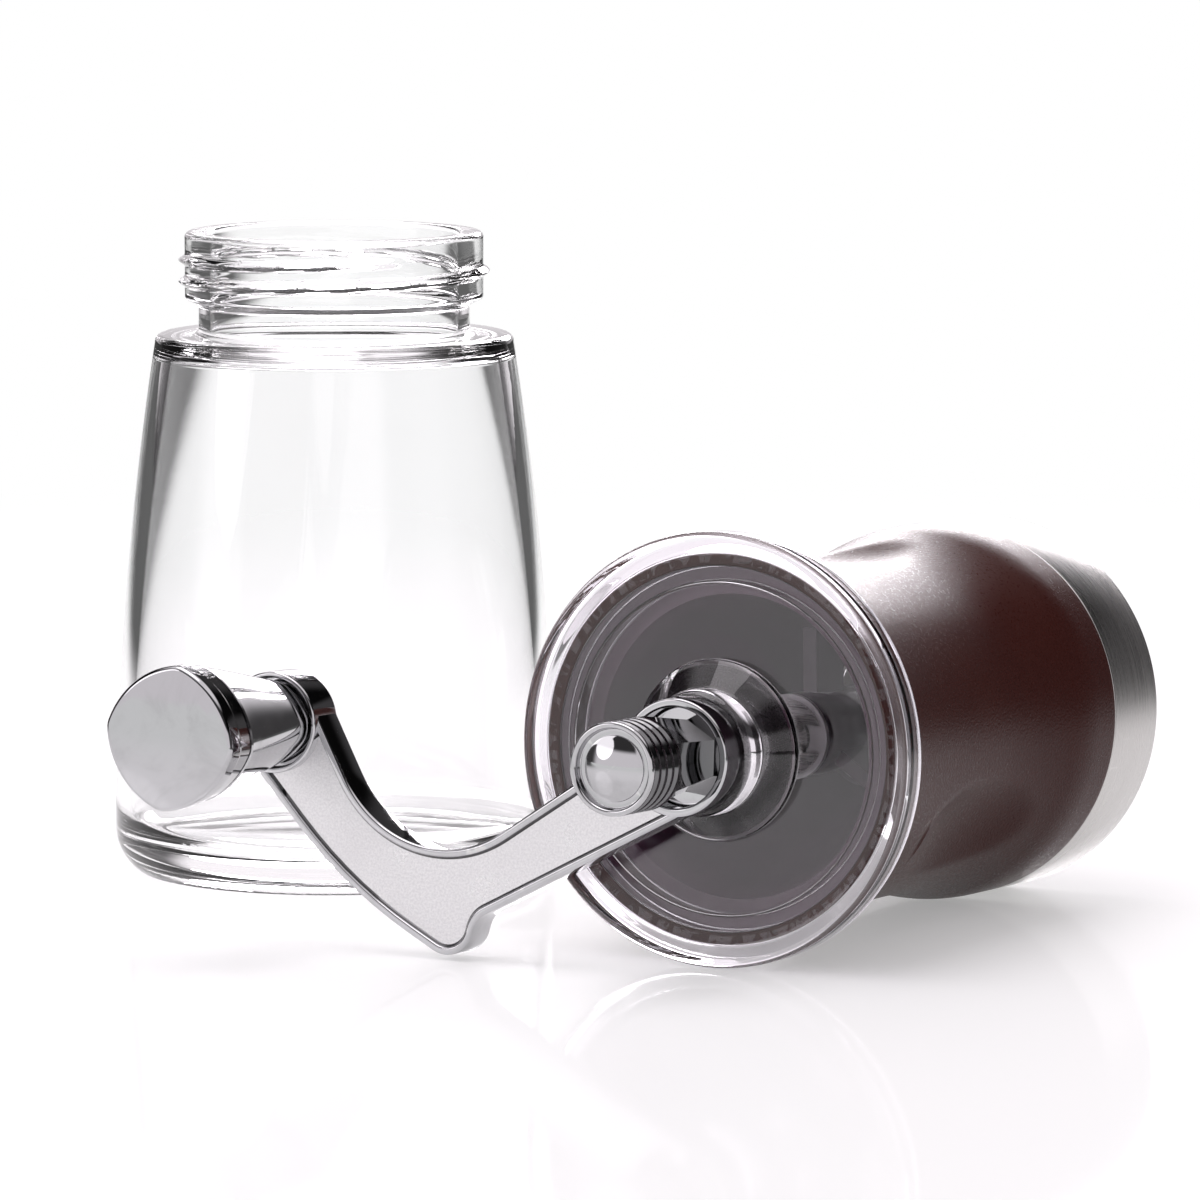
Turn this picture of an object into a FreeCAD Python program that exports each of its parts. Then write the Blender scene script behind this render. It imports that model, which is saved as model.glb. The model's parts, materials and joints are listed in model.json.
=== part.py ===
import FreeCAD, Part
import Sketcher
import math
import os
import re

Vector = FreeCAD.Vector
Placement = FreeCAD.Placement
Rotation = FreeCAD.Rotation

# Driving dimensions, in millimetres and degrees. Heights in the head run up from the open end of
# its steel band; those of the jar run up from the surface that it stands on.
sizes = {
    # Brown body with its steel band
    "head_length": 96.4,
    "band_radius": 30.9,
    "band_height": 16.3,
    "band_wall": 0.7,
    "band_lip": 1.6,
    "hip_sweep": 40,
    "waist_sweep": 120,
    "waist_radius": 28.15,
    "waist_height": 52,
    "mouth_radius": 31.2,
    "mouth_wall": 2.2,
    "ledge_depth": 7.2,
    "shell_wall": 2.2,
    "bore_length": 24,
    "socket_depth": 18.5,
    "socket_clearance": 0.35,
    "partition_wall": 3,
    "bore_taper": 6,
    "dimple_count": 3,
    "dimple_height": 56.4,
    "dimple_depth": 2.25,
    "dimple_across": 40,
    "dimple_sweep": 60,
    "dimple_reach": 24,
    "dimple_angle": -31,
    # Fits: seats that stay put, shafts that run, faces that pass each other
    "seat_fit": 0.15,
    "running_fit": 0.05,
    "face_gap": 0.3,
    # Clear lid and the bush in its hub
    "lid_overhang": 3.2,
    "lid_edge": 2.4,
    "lid_web": 2.4,
    "plug_wall": 2.2,
    "plug_depth": 5,
    "lid_hub_radius": 14.3,
    "lid_hub_step": 2.3,
    "lid_collar_radius": 10,
    "lid_collar_round": 2.2,
    "lid_collar_rise": 5.5,
    "lid_roof": 1.6,
    "lid_bore_gap": 0.6,
    "lid_bush_radius": 13.2,
    "lid_bush_flange": 2.6,
    "lid_bush_sleeve": 6.4,
    # Hopper with its spider
    "hopper_wall": 1.8,
    "hopper_flange": 2,
    "funnel_mouth": 24.4,
    "throat_radius": 11.5,
    "throat_rise": 3,
    "spider_count": 3,
    "spider_leg": 2.6,
    "spider_height": 12,
    "tube_length": 24,
    "tube_wall": 1.6,
    "bush_wall": 1.6,
    "bush_length": 8,
    "bush_flange": 1.2,
    # Burrs, their holder and the adjuster below them
    "burr_radius": 19,
    "burr_height": 16,
    "burr_wide": 15.7,
    "burr_narrow": 10,
    "burr_gap": 0.45,
    "burr_travel": 0.8,
    "tooth_count": 12,
    "tooth_depth": 1.6,
    "tooth_flank": 0.3,
    "tooth_twist": 26,
    "burr_base": 5,
    "key_radius": 6,
    "key_length": 21.5,
    "key_flange": 1.6,
    "key_flange_radius": 8.6,
    "holder_wall": 3,
    "holder_bore": 16.6,
    "screw_count": 3,
    "screw_circle": 23.7,
    "screw_radius": 1.25,
    "screw_head_radius": 2.2,
    "screw_head": 1.4,
    "screw_length": 5,
    "nut_height": 8,
    "nut_grip_radius": 10,
    "nut_lobes": 6,
    "nut_scallop": 3.2,
    "insert_radius": 4.2,
    "thread_radius": 2.5,
    "shaft_tail": 2,
    # Shaft, its clip and the burr spring
    "shaft_radius": 3.5,
    "shaft_flat": 5.4,
    "shaft_flats": 2,
    "shaft_square": 5.5,
    "shaft_sides": 4,
    "stud_radius": 3,
    "stud_length": 18,
    "clip_radius": 6,
    "clip_wall": 0.9,
    "clip_groove": 0.6,
    "clip_slot": 4.6,
    "washer_wall": 0.8,
    "washer_radius": 6.6,
    "spring_length": 10.5,
    "spring_radius": 4.9,
    "spring_wire": 0.9,
    "spring_turns": 4,
    # Crank arm, seen along the shaft with the knob to the left
    "crank_radius": 72.4,
    "arm_thickness": 6.2,
    "arm_border": 1.3,
    "arm_recess": 0.7,
    "hub_radius": 9.3,
    "hub_wall": 1.4,
    "hub_floor": 2.2,
    "boss_radius": 8.1,
    "boss_wall": 0.8,
    "boss_rise": 1,
    "boss_cup": 1.6,
    "elbow_from_knob": 23.7,
    "elbow_drop": 26.6,
    "elbow_round": 20,
    "sweep_from_knob": 13.7,
    "sweep_drop": 25.6,
    "sweep_round": 80,
    "heel_along": 36.5,
    "heel_drop": 37.05,
    "heel_round": 5,
    "notch_along": 34.7,
    "notch_drop": 28.4,
    "notch_round": 4,
    "arm_top_angle": 176.2,
    "arm_foot_angle": -62.7,
    "boss_inner_angle": 30,
    "boss_outer_angle": 226,
    "crank_rest": -0.7,
    # Cap nut on the shaft's stud
    "cap_length": 24.5,
    "cap_radius": 7.35,
    "cap_sides": 6,
    "cap_hex_length": 15.2,
    "cap_hex_low": 4.9,
    "cap_hex_high": 6.4,
    "cap_rings": 4,
    "cap_ring_pitch": 2.1,
    "cap_ring_depth": 0.6,
    "cap_rim": 1.7,
    "cap_dome_radius": 4.8,
    "cap_dish": 1,
    # Knob on its pin
    "knob_length": 32.4,
    "knob_neck": 6.25,
    "knob_neck_corner": 4.9,
    "knob_neck_bulge": 10,
    "knob_face": 10.3,
    "knob_corner": 5,
    "knob_bulge": 24,
    "knob_ridge": 9.8,
    "knob_ridge_height": 3,
    "knob_cap_height": 3.8,
    "knob_cap_edge": 0.8,
    "knob_groove": 0.7,
    "knob_bore_floor": 19,
    "knob_cavity": 5.2,
    "knob_turn": 38,
    "knob_pin_radius": 2.2,
    "knob_pin_head": 3.9,
    "knob_pin_head_height": 1.6,
    "knob_bush_wall": 1.4,
    "knob_washer_wall": 0.5,
    "knob_washer_radius": 5.6,
    # Glass jar
    "jar_rest_radius": 33.7,
    "jar_rest_width": 3,
    "jar_push": 0.8,
    "jar_radius": 37.4,
    "jar_heel": 7,
    "jar_foot": 12,
    "jar_shoulder_radius": 30.3,
    "jar_shoulder_height": 90.7,
    "jar_shoulder_round": 1.2,
    "jar_sweep": 590,
    "jar_wall": 2.6,
    "jar_base": 5.5,
    "jar_inner_heel": 5,
    "jar_inner_shoulder": 4,
    "neck_radius": 22.9,
    "neck_height": 5,
    "finish_radius": 25.2,
    "finish_height": 12.35,
    "thread_bead": 1.05,
    "mouth_bore": 21,
    "rim_round": 1,
    # Places on the surface that both halves rest on
    "jar_x": -51.65,
    "jar_y": 36.09,
    "lid_x": 54.65,
    "lid_y": -25.31,
}

doc = FreeCAD.newDocument("CoffeeGrinder")
sheet = doc.addObject("Spreadsheet::Sheet", "Sizes")
for row, (name, number) in enumerate(sizes.items(), start=1):
    sheet.set(f"A{row}", name)
    sheet.set(f"B{row}", str(number))
    sheet.setAlias(f"B{row}", name)
doc.recompute()

pieces = {}


def tied(text):
    return re.sub(r"\b[a-z]\w*\b(?!\()", lambda word: "Sizes." + word[0], text)


def amount(text):
    return float(sheet.evalExpression(tied(text)))


def newBody(label):
    body = doc.addObject("PartDesign::Body", label)
    body.Label = label
    pieces[label] = body
    return body


def originPart(body, role):
    return next(part for part in body.Origin.OriginFeatures if part.Role == role)


def hold(sketch, kind, places, text):
    index = sketch.addConstraint(Sketcher.Constraint(kind, *places, amount(text)))
    if re.search(r"[a-z]", text):
        sketch.setExpression(f"Constraints[{index}]", tied(text))


def arcBetween(start, end, radius, hand):
    # hand +1 bulges to the left of the way from start to end, -1 to the right
    chord = end - start
    depth = math.sqrt(max(radius * radius - chord.Length**2 / 4, 0))
    left = Vector(-chord.y, chord.x, 0).normalize()
    centre = start + chord * 0.5 - left * (depth * hand)
    first, last = (end, start) if hand > 0 else (start, end)
    turns = [math.atan2(p.y - centre.y, p.x - centre.x) for p in (first, last)]
    if turns[1] < turns[0]:
        turns[1] += 2 * math.pi
    return Part.ArcOfCircle(Part.Circle(centre, Vector(0, 0, 1), radius), *turns)


def draw(body, role, corners, arcs=None, lift=None, axisAt=None):
    # closed outline: corners are pairs of texts, arcs maps a side to (radius text, hand)
    arcs = arcs or {}
    sketch = body.newObject("Sketcher::SketchObject", body.Label + "_outline")
    sketch.AttachmentSupport = [(originPart(body, role), "")]
    sketch.MapMode = "FlatFace"
    if lift:
        sketch.setExpression("AttachmentOffset.Base.z", tied(lift))
    points = [Vector(amount(x), amount(y), 0) for x, y in corners]
    ends = []
    for side, start in enumerate(points):
        end = points[(side + 1) % len(points)]
        if side in arcs:
            radius, hand = arcs[side]
            curve = arcBetween(start, end, amount(radius), hand)
        else:
            curve = Part.LineSegment(start, end)
        index = sketch.addGeometry(curve)
        placed = sketch.Geometry[index].StartPoint
        forward = (placed - start).Length < (placed - end).Length
        ends.append((index, 1, 2) if forward else (index, 2, 1))
    for side, (index, first, last) in enumerate(ends):
        following, followingFirst, _ = ends[(side + 1) % len(ends)]
        sketch.addConstraint(Sketcher.Constraint("Coincident", index, last, following, followingFirst))
        hold(sketch, "DistanceX", (-1, 1, index, first), corners[side][0])
        hold(sketch, "DistanceY", (-1, 1, index, first), corners[side][1])
        if side in arcs:
            hold(sketch, "Radius", (index,), arcs[side][0])
    if axisAt:
        x = amount(axisAt)
        line = sketch.addGeometry(Part.LineSegment(Vector(x, 0, 0), Vector(x, 1, 0)), True)
        for end, height in ((1, "0"), (2, "1")):
            hold(sketch, "DistanceX", (-1, 1, line, end), axisAt)
            hold(sketch, "DistanceY", (-1, 1, line, end), height)
    return sketch


def feature(body, kind, profile):
    made = body.newObject("PartDesign::" + kind, body.Label + "_" + kind.lower())
    made.Profile = profile
    return made


def turned(body, corners, arcs=None, kind="Revolution", axisAt=None):
    sketch = draw(body, "XZ_Plane", corners, arcs, axisAt=axisAt)
    made = feature(body, kind, sketch)
    made.ReferenceAxis = (sketch, ["Axis0" if axisAt else "V_Axis"])
    made.Angle = 360
    return made


def lathe(label, corners, arcs=None):
    body = newBody(label)
    turned(body, corners, arcs)
    return body


def prism(body, kind, sketch, length, both=False):
    made = feature(body, kind, sketch)
    made.setExpression("Length", tied(length))
    if both:
        made.SideType = "Symmetric"
    return made


def around(body, original, count):
    doc.recompute()
    pattern = body.newObject("PartDesign::PolarPattern", body.Label + "_pattern")
    pattern.Originals = [original]
    pattern.Axis = (originPart(body, "Z_Axis"), [""])
    pattern.Angle = 360
    pattern.setExpression("Occurrences", tied(count))
    body.Tip = pattern
    return pattern


def box(low, high):
    return [(low[0], low[1]), (high[0], low[1]), (high[0], high[1]), (low[0], high[1])]


def ring(body, away, radius, height):
    # circle out along X, drawn on a level plane
    sketch = body.newObject("Sketcher::SketchObject", body.Label + "_ring")
    sketch.AttachmentSupport = [(originPart(body, "XY_Plane"), "")]
    sketch.MapMode = "FlatFace"
    sketch.setExpression("AttachmentOffset.Base.z", tied(height))
    index = sketch.addGeometry(Part.Circle(Vector(amount(away), 0, 0), Vector(0, 0, 1), amount(radius)))
    hold(sketch, "DistanceX", (-1, 1, index, 3), away)
    hold(sketch, "DistanceY", (-1, 1, index, 3), "0")
    hold(sketch, "Radius", (index,), radius)
    return sketch


def uprightEdge(base, x, y):
    # the edge along Z that stands at the corner (x, y)
    def off(edge):
        middle = edge.CenterOfMass
        return math.hypot(middle.x - amount(x), middle.y - amount(y))
    upright = [e for e in base.Shape.Edges if abs(e.tangentAt(e.FirstParameter).z) > 0.999]
    nearest = min(upright, key=off)
    return next(f"Edge{i}" for i, e in enumerate(base.Shape.Edges, 1) if e.isSame(nearest))


def topFace(base, height):
    flat = [(f.Area, i) for i, f in enumerate(base.Shape.Faces, 1)
            if abs(f.CenterOfMass.z - amount(height)) < 1e-6]
    return f"Face{max(flat)[1]}"


# Heights in the head, and the radii that its fits share
mouthTop = "head_length - lid_web / 2"
ledge = f"{mouthTop} - ledge_depth"
bandBore = "band_radius - band_wall"
mouthBore = "mouth_radius - mouth_wall"
socketBore = "finish_radius + thread_bead + socket_clearance"
shellBore = "waist_radius - dimple_depth - shell_wall"
partitionTop = "socket_depth + partition_wall"
burrLow = "socket_depth + seat_fit"
burrHigh = f"{burrLow} + burr_height"
cupTop = f"{burrHigh} + seat_fit"
cupBore = "burr_radius + seat_fit"
cupRadius = f"{cupBore} + hopper_wall"
throat = f"{cupTop} + throat_rise"
keyLow = f"{burrLow} - burr_base - key_flange"
keyHigh = f"{keyLow} + key_length"
springHigh = f"{keyHigh} + spring_length"
tubeLow = f"{springHigh} + washer_wall + bush_flange + running_fit"
tubeHigh = f"{tubeLow} + tube_length"
clipLow = f"{tubeHigh} + bush_flange + running_fit"
tubeBore = "shaft_radius + running_fit + bush_wall + seat_fit"
tubeRadius = f"{tubeBore} + tube_wall"
lidRadius = "mouth_radius + lid_overhang"
plugRadius = f"{mouthBore} - seat_fit"
lidHubTop = "head_length + lid_web / 2 + lid_hub_step"
collarTop = f"{lidHubTop} + lid_collar_rise"
armBack = f"{collarTop} + face_gap"
armFront = f"{armBack} + arm_thickness"
capLow = f"{armBack} + hub_floor"
capHigh = f"{capLow} + cap_length"
bossTop = f"{armFront} + boss_rise"
bossFloor = f"{bossTop} - boss_cup"
knobLow = f"{bossFloor} + knob_washer_wall + running_fit"
knobHigh = f"{knobLow} + knob_length"
knobCapLow = f"{knobHigh} - knob_cap_height"
nutHigh = f"{keyLow} - running_fit"
nutLow = f"{nutHigh} - nut_height"


def screwHoles(body, high, depth):
    hole = prism(body, "Pocket", ring(body, "screw_circle", "screw_radius + seat_fit", high), depth)
    around(body, hole, "screw_count")


def bodyShell():
    # waisted outline: the hip's convex arc runs into the waist's concave one, both upright at their ends
    turnCos = "(1 - (band_radius - waist_radius) / (waist_sweep + hip_sweep))"
    turnSin = f"sqrt(1 - {turnCos}^2)"
    chestRise = f"({mouthTop} - waist_height)"
    chestFlare = "(mouth_radius - waist_radius)"
    chestSweep = f"({chestRise}^2 + {chestFlare}^2) / (2 * {chestFlare})"
    skirt = f"{bandBore} - seat_fit"
    partitionBore = f"{cupRadius} + seat_fit"
    body = lathe("body_shell", [
        (skirt, "band_wall"),
        (skirt, "band_height"),
        ("band_radius", "band_height"),
        ("band_radius", f"waist_height - (waist_sweep + hip_sweep) * {turnSin}"),
        (f"waist_radius + waist_sweep * (1 - {turnCos})", f"waist_height - waist_sweep * {turnSin}"),
        ("waist_radius", "waist_height"),
        ("mouth_radius", mouthTop),
        (mouthBore, mouthTop),
        (mouthBore, ledge),
        ("funnel_mouth + hopper_wall + seat_fit", ledge),
        (shellBore, "dimple_height + bore_length / 2"),
        (shellBore, "dimple_height - bore_length / 2"),
        (socketBore, f"{partitionTop} + bore_taper"),
        (socketBore, partitionTop),
        (partitionBore, partitionTop),
        (partitionBore, "socket_depth"),
        (socketBore, "socket_depth"),
        (socketBore, "band_wall"),
    ], {3: ("hip_sweep", -1), 4: ("waist_sweep", 1), 5: (chestSweep, 1)})
    # finger dimples: a barrel-shaped scoop beside the body, repeated round it
    scoopAxis = "waist_radius - dimple_depth + dimple_across"
    scoopEnd = "dimple_sweep - sqrt(dimple_sweep^2 - dimple_reach^2)"
    low = "dimple_height - dimple_reach"
    high = "dimple_height + dimple_reach"
    edge = f"waist_radius - dimple_depth + {scoopEnd}"
    scoop = turned(body, [(scoopAxis, low), (scoopAxis, high), (edge, high), (edge, low)],
                   {2: ("dimple_sweep", -1)}, "Groove", scoopAxis)
    around(body, scoop, "dimple_count")
    screwHoles(body, partitionTop, "partition_wall")


def steelBand():
    lathe("steel_band", [
        ("band_radius", "0"),
        ("band_radius", "band_height"),
        (bandBore, "band_height"),
        (bandBore, "band_wall"),
        (f"{bandBore} - band_lip", "band_wall"),
        (f"{bandBore} - band_lip", "0"),
    ])


def clearLid():
    top = "head_length + lid_web / 2"
    low = mouthTop
    bead = f"{lidRadius} - lid_edge"
    lathe("clear_lid", [
        ("shaft_radius + lid_bore_gap", collarTop),
        ("lid_collar_radius - lid_collar_round", collarTop),
        ("lid_collar_radius", f"{collarTop} - lid_collar_round"),
        ("lid_collar_radius", lidHubTop),
        ("lid_hub_radius", lidHubTop),
        ("lid_hub_radius", top),
        (f"{bead} - lid_edge", top),
        (bead, "head_length + lid_edge"),
        (lidRadius, "head_length"),
        (bead, "head_length - lid_edge"),
        ("mouth_radius + face_gap", "head_length - lid_edge"),
        ("mouth_radius + face_gap", low),
        (plugRadius, low),
        (plugRadius, f"{low} - plug_depth"),
        (f"{plugRadius} - plug_wall", f"{low} - plug_depth"),
        (f"{plugRadius} - plug_wall", low),
        ("lid_bush_radius + seat_fit", low),
        ("lid_bush_radius + seat_fit", f"{low} + lid_bush_flange"),
        ("lid_bush_sleeve + seat_fit", f"{low} + lid_bush_flange"),
        ("lid_bush_sleeve + seat_fit", f"{collarTop} - lid_roof"),
        ("shaft_radius + lid_bore_gap", f"{collarTop} - lid_roof"),
    ], {1: ("lid_collar_round", 1), 7: ("lid_edge", 1), 8: ("lid_edge", 1)})
    sleeve = "shaft_radius + running_fit"
    lathe("lid_bush", [
        (sleeve, low),
        ("lid_bush_radius", low),
        ("lid_bush_radius", f"{low} + lid_bush_flange"),
        ("lid_bush_sleeve", f"{low} + lid_bush_flange"),
        ("lid_bush_sleeve", f"{collarTop} - lid_roof"),
        (sleeve, f"{collarTop} - lid_roof"),
    ])


def hopper():
    flange = f"{mouthBore} - seat_fit"
    rim = f"{ledge} + hopper_flange"
    body = lathe("hopper", [
        (flange, ledge),
        (flange, rim),
        ("funnel_mouth", rim),
        ("throat_radius", throat),
        ("throat_radius", cupTop),
        (cupBore, cupTop),
        (cupBore, "socket_depth"),
        (cupRadius, "socket_depth"),
        (cupRadius, f"{cupTop} + hopper_wall"),
        ("throat_radius + hopper_wall", f"{cupTop} + hopper_wall"),
        ("throat_radius + hopper_wall", throat),
        ("funnel_mouth + hopper_wall", ledge),
    ])

    def wallAt(height):
        # the middle of the funnel's wall
        slope = f"(funnel_mouth - throat_radius) / ({rim} - ({throat}))"
        return f"throat_radius + hopper_wall / 2 + ({height} - ({throat})) * {slope}"

    middle = f"({tubeLow} + {tubeHigh}) / 2"
    legLow = f"({middle} - spider_height / 2)"
    legHigh = f"({middle} + spider_height / 2)"
    tubeMiddle = f"{tubeBore} + tube_wall / 2"
    leg = draw(body, "XZ_Plane", [(tubeMiddle, legLow), (wallAt(legLow), legLow),
                                  (wallAt(legHigh), legHigh), (tubeMiddle, legHigh)])
    around(body, prism(body, "Pad", leg, "spider_leg", both=True), "spider_count")
    turned(body, box((tubeBore, tubeLow), (tubeRadius, tubeHigh)))


def bushes():
    bore = "shaft_radius + running_fit"
    sleeve = f"{bore} + bush_wall"
    for label, end, way in (("lower_bush", tubeLow, -1), ("upper_bush", tubeHigh, 1)):
        flangeEnd = f"{end} + {way} * bush_flange"
        inner = f"{end} - {way} * bush_length"
        lathe(label, [
            (bore, inner),
            (sleeve, inner),
            (sleeve, end),
            (tubeRadius, end),
            (tubeRadius, flangeEnd),
            (bore, flangeEnd),
        ])


def teeth(body, tip, root, twist, height):
    # saw-toothed ring: a short steep flank, then a long ramp to the next tip
    count = int(amount("tooth_count"))
    flank = amount("tooth_flank")
    corners = []
    for index in range(count):
        for radius, share in ((tip, 0), (root, flank)):
            angle = f"({360 * (index + share) / count:.6f} + {twist})"
            corners.append((f"({radius}) * cos({angle})", f"({radius}) * sin({angle})"))
    return draw(body, "XY_Plane", corners, lift=height)


def toothedLoft(body, kind, gap, depth):
    wide = f"burr_wide - {gap}"
    narrow = f"burr_narrow - {gap}"
    loft = feature(body, kind, teeth(body, wide, f"{wide} + {depth}", "0", burrLow))
    loft.Sections = [teeth(body, narrow, f"{narrow} + {depth}", "tooth_twist", burrHigh)]
    loft.Ruled = True


def burrs():
    body = lathe("outer_burr", box(("0", burrLow), ("burr_radius", burrHigh)))
    toothedLoft(body, "SubtractiveLoft", "0", "tooth_depth")

    body = lathe("inner_burr", box(("0", f"{burrLow} - burr_base"),
                                   ("burr_wide - burr_gap - tooth_depth", burrLow)))
    toothedLoft(body, "AdditiveLoft", "burr_gap", "-tooth_depth")
    turned(body, box(("0", f"{burrLow} - burr_base"), ("key_radius + seat_fit", burrHigh)), kind="Groove")

    # hub of the inner burr, with a bore of two flats that the shaft drives
    body = lathe("burr_key", [
        ("0", keyLow),
        ("key_flange_radius", keyLow),
        ("key_flange_radius", f"{keyLow} + key_flange"),
        ("key_radius", f"{keyLow} + key_flange"),
        ("key_radius", keyHigh),
        ("0", keyHigh),
    ])
    bore = "(shaft_radius + running_fit)"
    flat = "(shaft_flat / 2 + running_fit)"
    side = f"sqrt({bore}^2 - {flat}^2)"
    bored = draw(body, "XY_Plane", box((f"-{flat}", f"-{side}"), (flat, side)),
                 {0: (bore, -1), 2: (bore, -1)}, lift=keyHigh)
    prism(body, "Pocket", bored, "key_length")

    holderLow = "socket_depth - holder_wall"
    holder = f"{socketBore} - face_gap"
    body = lathe("burr_holder", box(("holder_bore", holderLow), (holder, "socket_depth")))
    screwHoles(body, "socket_depth", "holder_wall")
    screws = []
    for index in range(int(amount("screw_count"))):
        solids = []
        for radius, low, height in (("screw_head_radius", f"{holderLow} - screw_head", "screw_head"),
                                    ("screw_radius", holderLow, "screw_length")):
            solid = doc.addObject("Part::Cylinder", "screw_round")
            solid.setExpression("Radius", tied(radius))
            solid.setExpression("Height", tied(height))
            turn = f"(360 * {index} / screw_count)"
            solid.setExpression("Placement.Base.x", tied(f"screw_circle * cos({turn})"))
            solid.setExpression("Placement.Base.y", tied(f"screw_circle * sin({turn})"))
            solid.setExpression("Placement.Base.z", tied(low))
            solids.append(solid)
        screw = doc.addObject("Part::Fuse", "screw")
        screw.Base, screw.Tool = solids
        screws.append(screw)
    group = doc.addObject("Part::Compound", "burr_holder_screws")
    group.Label = "burr_holder_screws"
    group.Links = screws
    pieces[group.Label] = group


def adjuster():
    body = lathe("adjusting_nut", box(("insert_radius + seat_fit", nutLow), ("nut_grip_radius", nutHigh)))
    scallop = ring(body, "nut_grip_radius + nut_scallop / 2", "nut_scallop", nutHigh)
    around(body, prism(body, "Pocket", scallop, "nut_height"), "nut_lobes")
    lathe("nut_insert", box(("thread_radius + running_fit", nutLow), ("insert_radius", nutHigh)))


def driveShaft():
    threadTop = f"{keyLow} + key_flange"
    clipHigh = f"{clipLow} + clip_wall + running_fit"
    body = lathe("drive_shaft", [
        ("0", f"{nutLow} - shaft_tail"),
        ("thread_radius", f"{nutLow} - shaft_tail"),
        ("thread_radius", threadTop),
        ("shaft_radius", threadTop),
        ("shaft_radius", clipLow),
        ("shaft_radius - clip_groove", clipLow),
        ("shaft_radius - clip_groove", clipHigh),
        ("shaft_radius", clipHigh),
        ("shaft_radius", capLow),
        ("stud_radius", capLow),
        ("stud_radius", f"{capLow} + stud_length"),
        ("0", f"{capLow} + stud_length"),
    ])
    beyond = "shaft_radius * 2"
    flatTop = f"{keyHigh} + burr_travel + face_gap"
    for width, low, high, count in (("shaft_flat", threadTop, flatTop, "shaft_flats"),
                                    ("shaft_square", armBack, capLow, "shaft_sides")):
        side = draw(body, "XZ_Plane", box((f"{width} / 2", low), (beyond, high)))
        around(body, prism(body, "Pocket", side, f"{beyond} * 2", both=True), count)
    # open clip in the shaft's groove, above the upper bush
    body = lathe("retaining_clip", box(("shaft_radius - clip_groove + running_fit", clipLow),
                                       ("clip_radius", f"{clipLow} + clip_wall")))
    slot = draw(body, "XY_Plane", box(("0", "-clip_slot / 2"), ("clip_radius * 2", "clip_slot / 2")),
                lift=f"{clipLow} + clip_wall")
    prism(body, "Pocket", slot, "clip_wall")
    lathe("spring_washer", box(("shaft_radius + running_fit", springHigh),
                               ("washer_radius", f"{springHigh} + washer_wall")))


def burrSpring():
    # helix of half turns, each made of two arcs that share their tangent
    wire = amount("spring_wire")
    radius = amount("spring_radius")
    halves = int(amount("spring_turns") * 2)
    low = amount(keyHigh) + wire / 2
    rise = (amount("spring_length") - wire) / halves

    def point(half):
        turn = math.pi * half
        return Vector(radius * math.cos(turn), radius * math.sin(turn), low + rise * half)

    def heading(half):
        turn = math.pi * half
        speed = math.pi * radius
        return Vector(-speed * math.sin(turn), speed * math.cos(turn), rise).normalize()

    def arc(start, corner, end):
        chord = end - start
        out = corner - (start + chord * 0.5)
        bend = math.atan2(out.Length, chord.Length / 2)
        middle = start + chord * 0.5 + out.normalize() * (chord.Length / 2 * math.tan(bend / 2))
        return Part.Arc(start, middle, end).toShape()

    edges = []
    quarter = 0.5
    for step in range(halves * 2):
        first, last = step * quarter, (step + 1) * quarter
        span = point(last) - point(first)
        both = heading(first) + heading(last)
        across = heading(first).dot(heading(last)) - 1
        reach = span.dot(both)
        arm = (reach - math.sqrt(reach * reach - 2 * across * span.dot(span))) / (2 * across)
        before = point(first) + heading(first) * arm
        after = point(last) - heading(last) * arm
        meet = (before + after) * 0.5
        edges += [arc(point(first), before, meet), arc(meet, after, point(last))]
    path = Part.Wire(edges)
    section = Part.Wire(Part.Circle(point(0), heading(0), wire / 2).toShape())
    tube = path.makePipeShell([section], True, False)
    piece = doc.addObject("Part::Feature", "burr_spring")
    piece.Label = "burr_spring"
    piece.Shape = tube
    pieces[piece.Label] = piece
    perTurn = 64
    places = [point(2 * i / perTurn) for i in range(int(amount("spring_turns")) * perTurn + 1)]
    gap = min((a - b).Length for i, a in enumerate(places) for b in places[i + perTurn // 2:]) - wire
    print(f"burr_spring: least gap between turns {gap:.2f} mm, volume {tube.Volume:.1f} mm3,",
          f"section times length {math.pi * wire * wire / 4 * path.Length:.1f} mm3")


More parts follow.
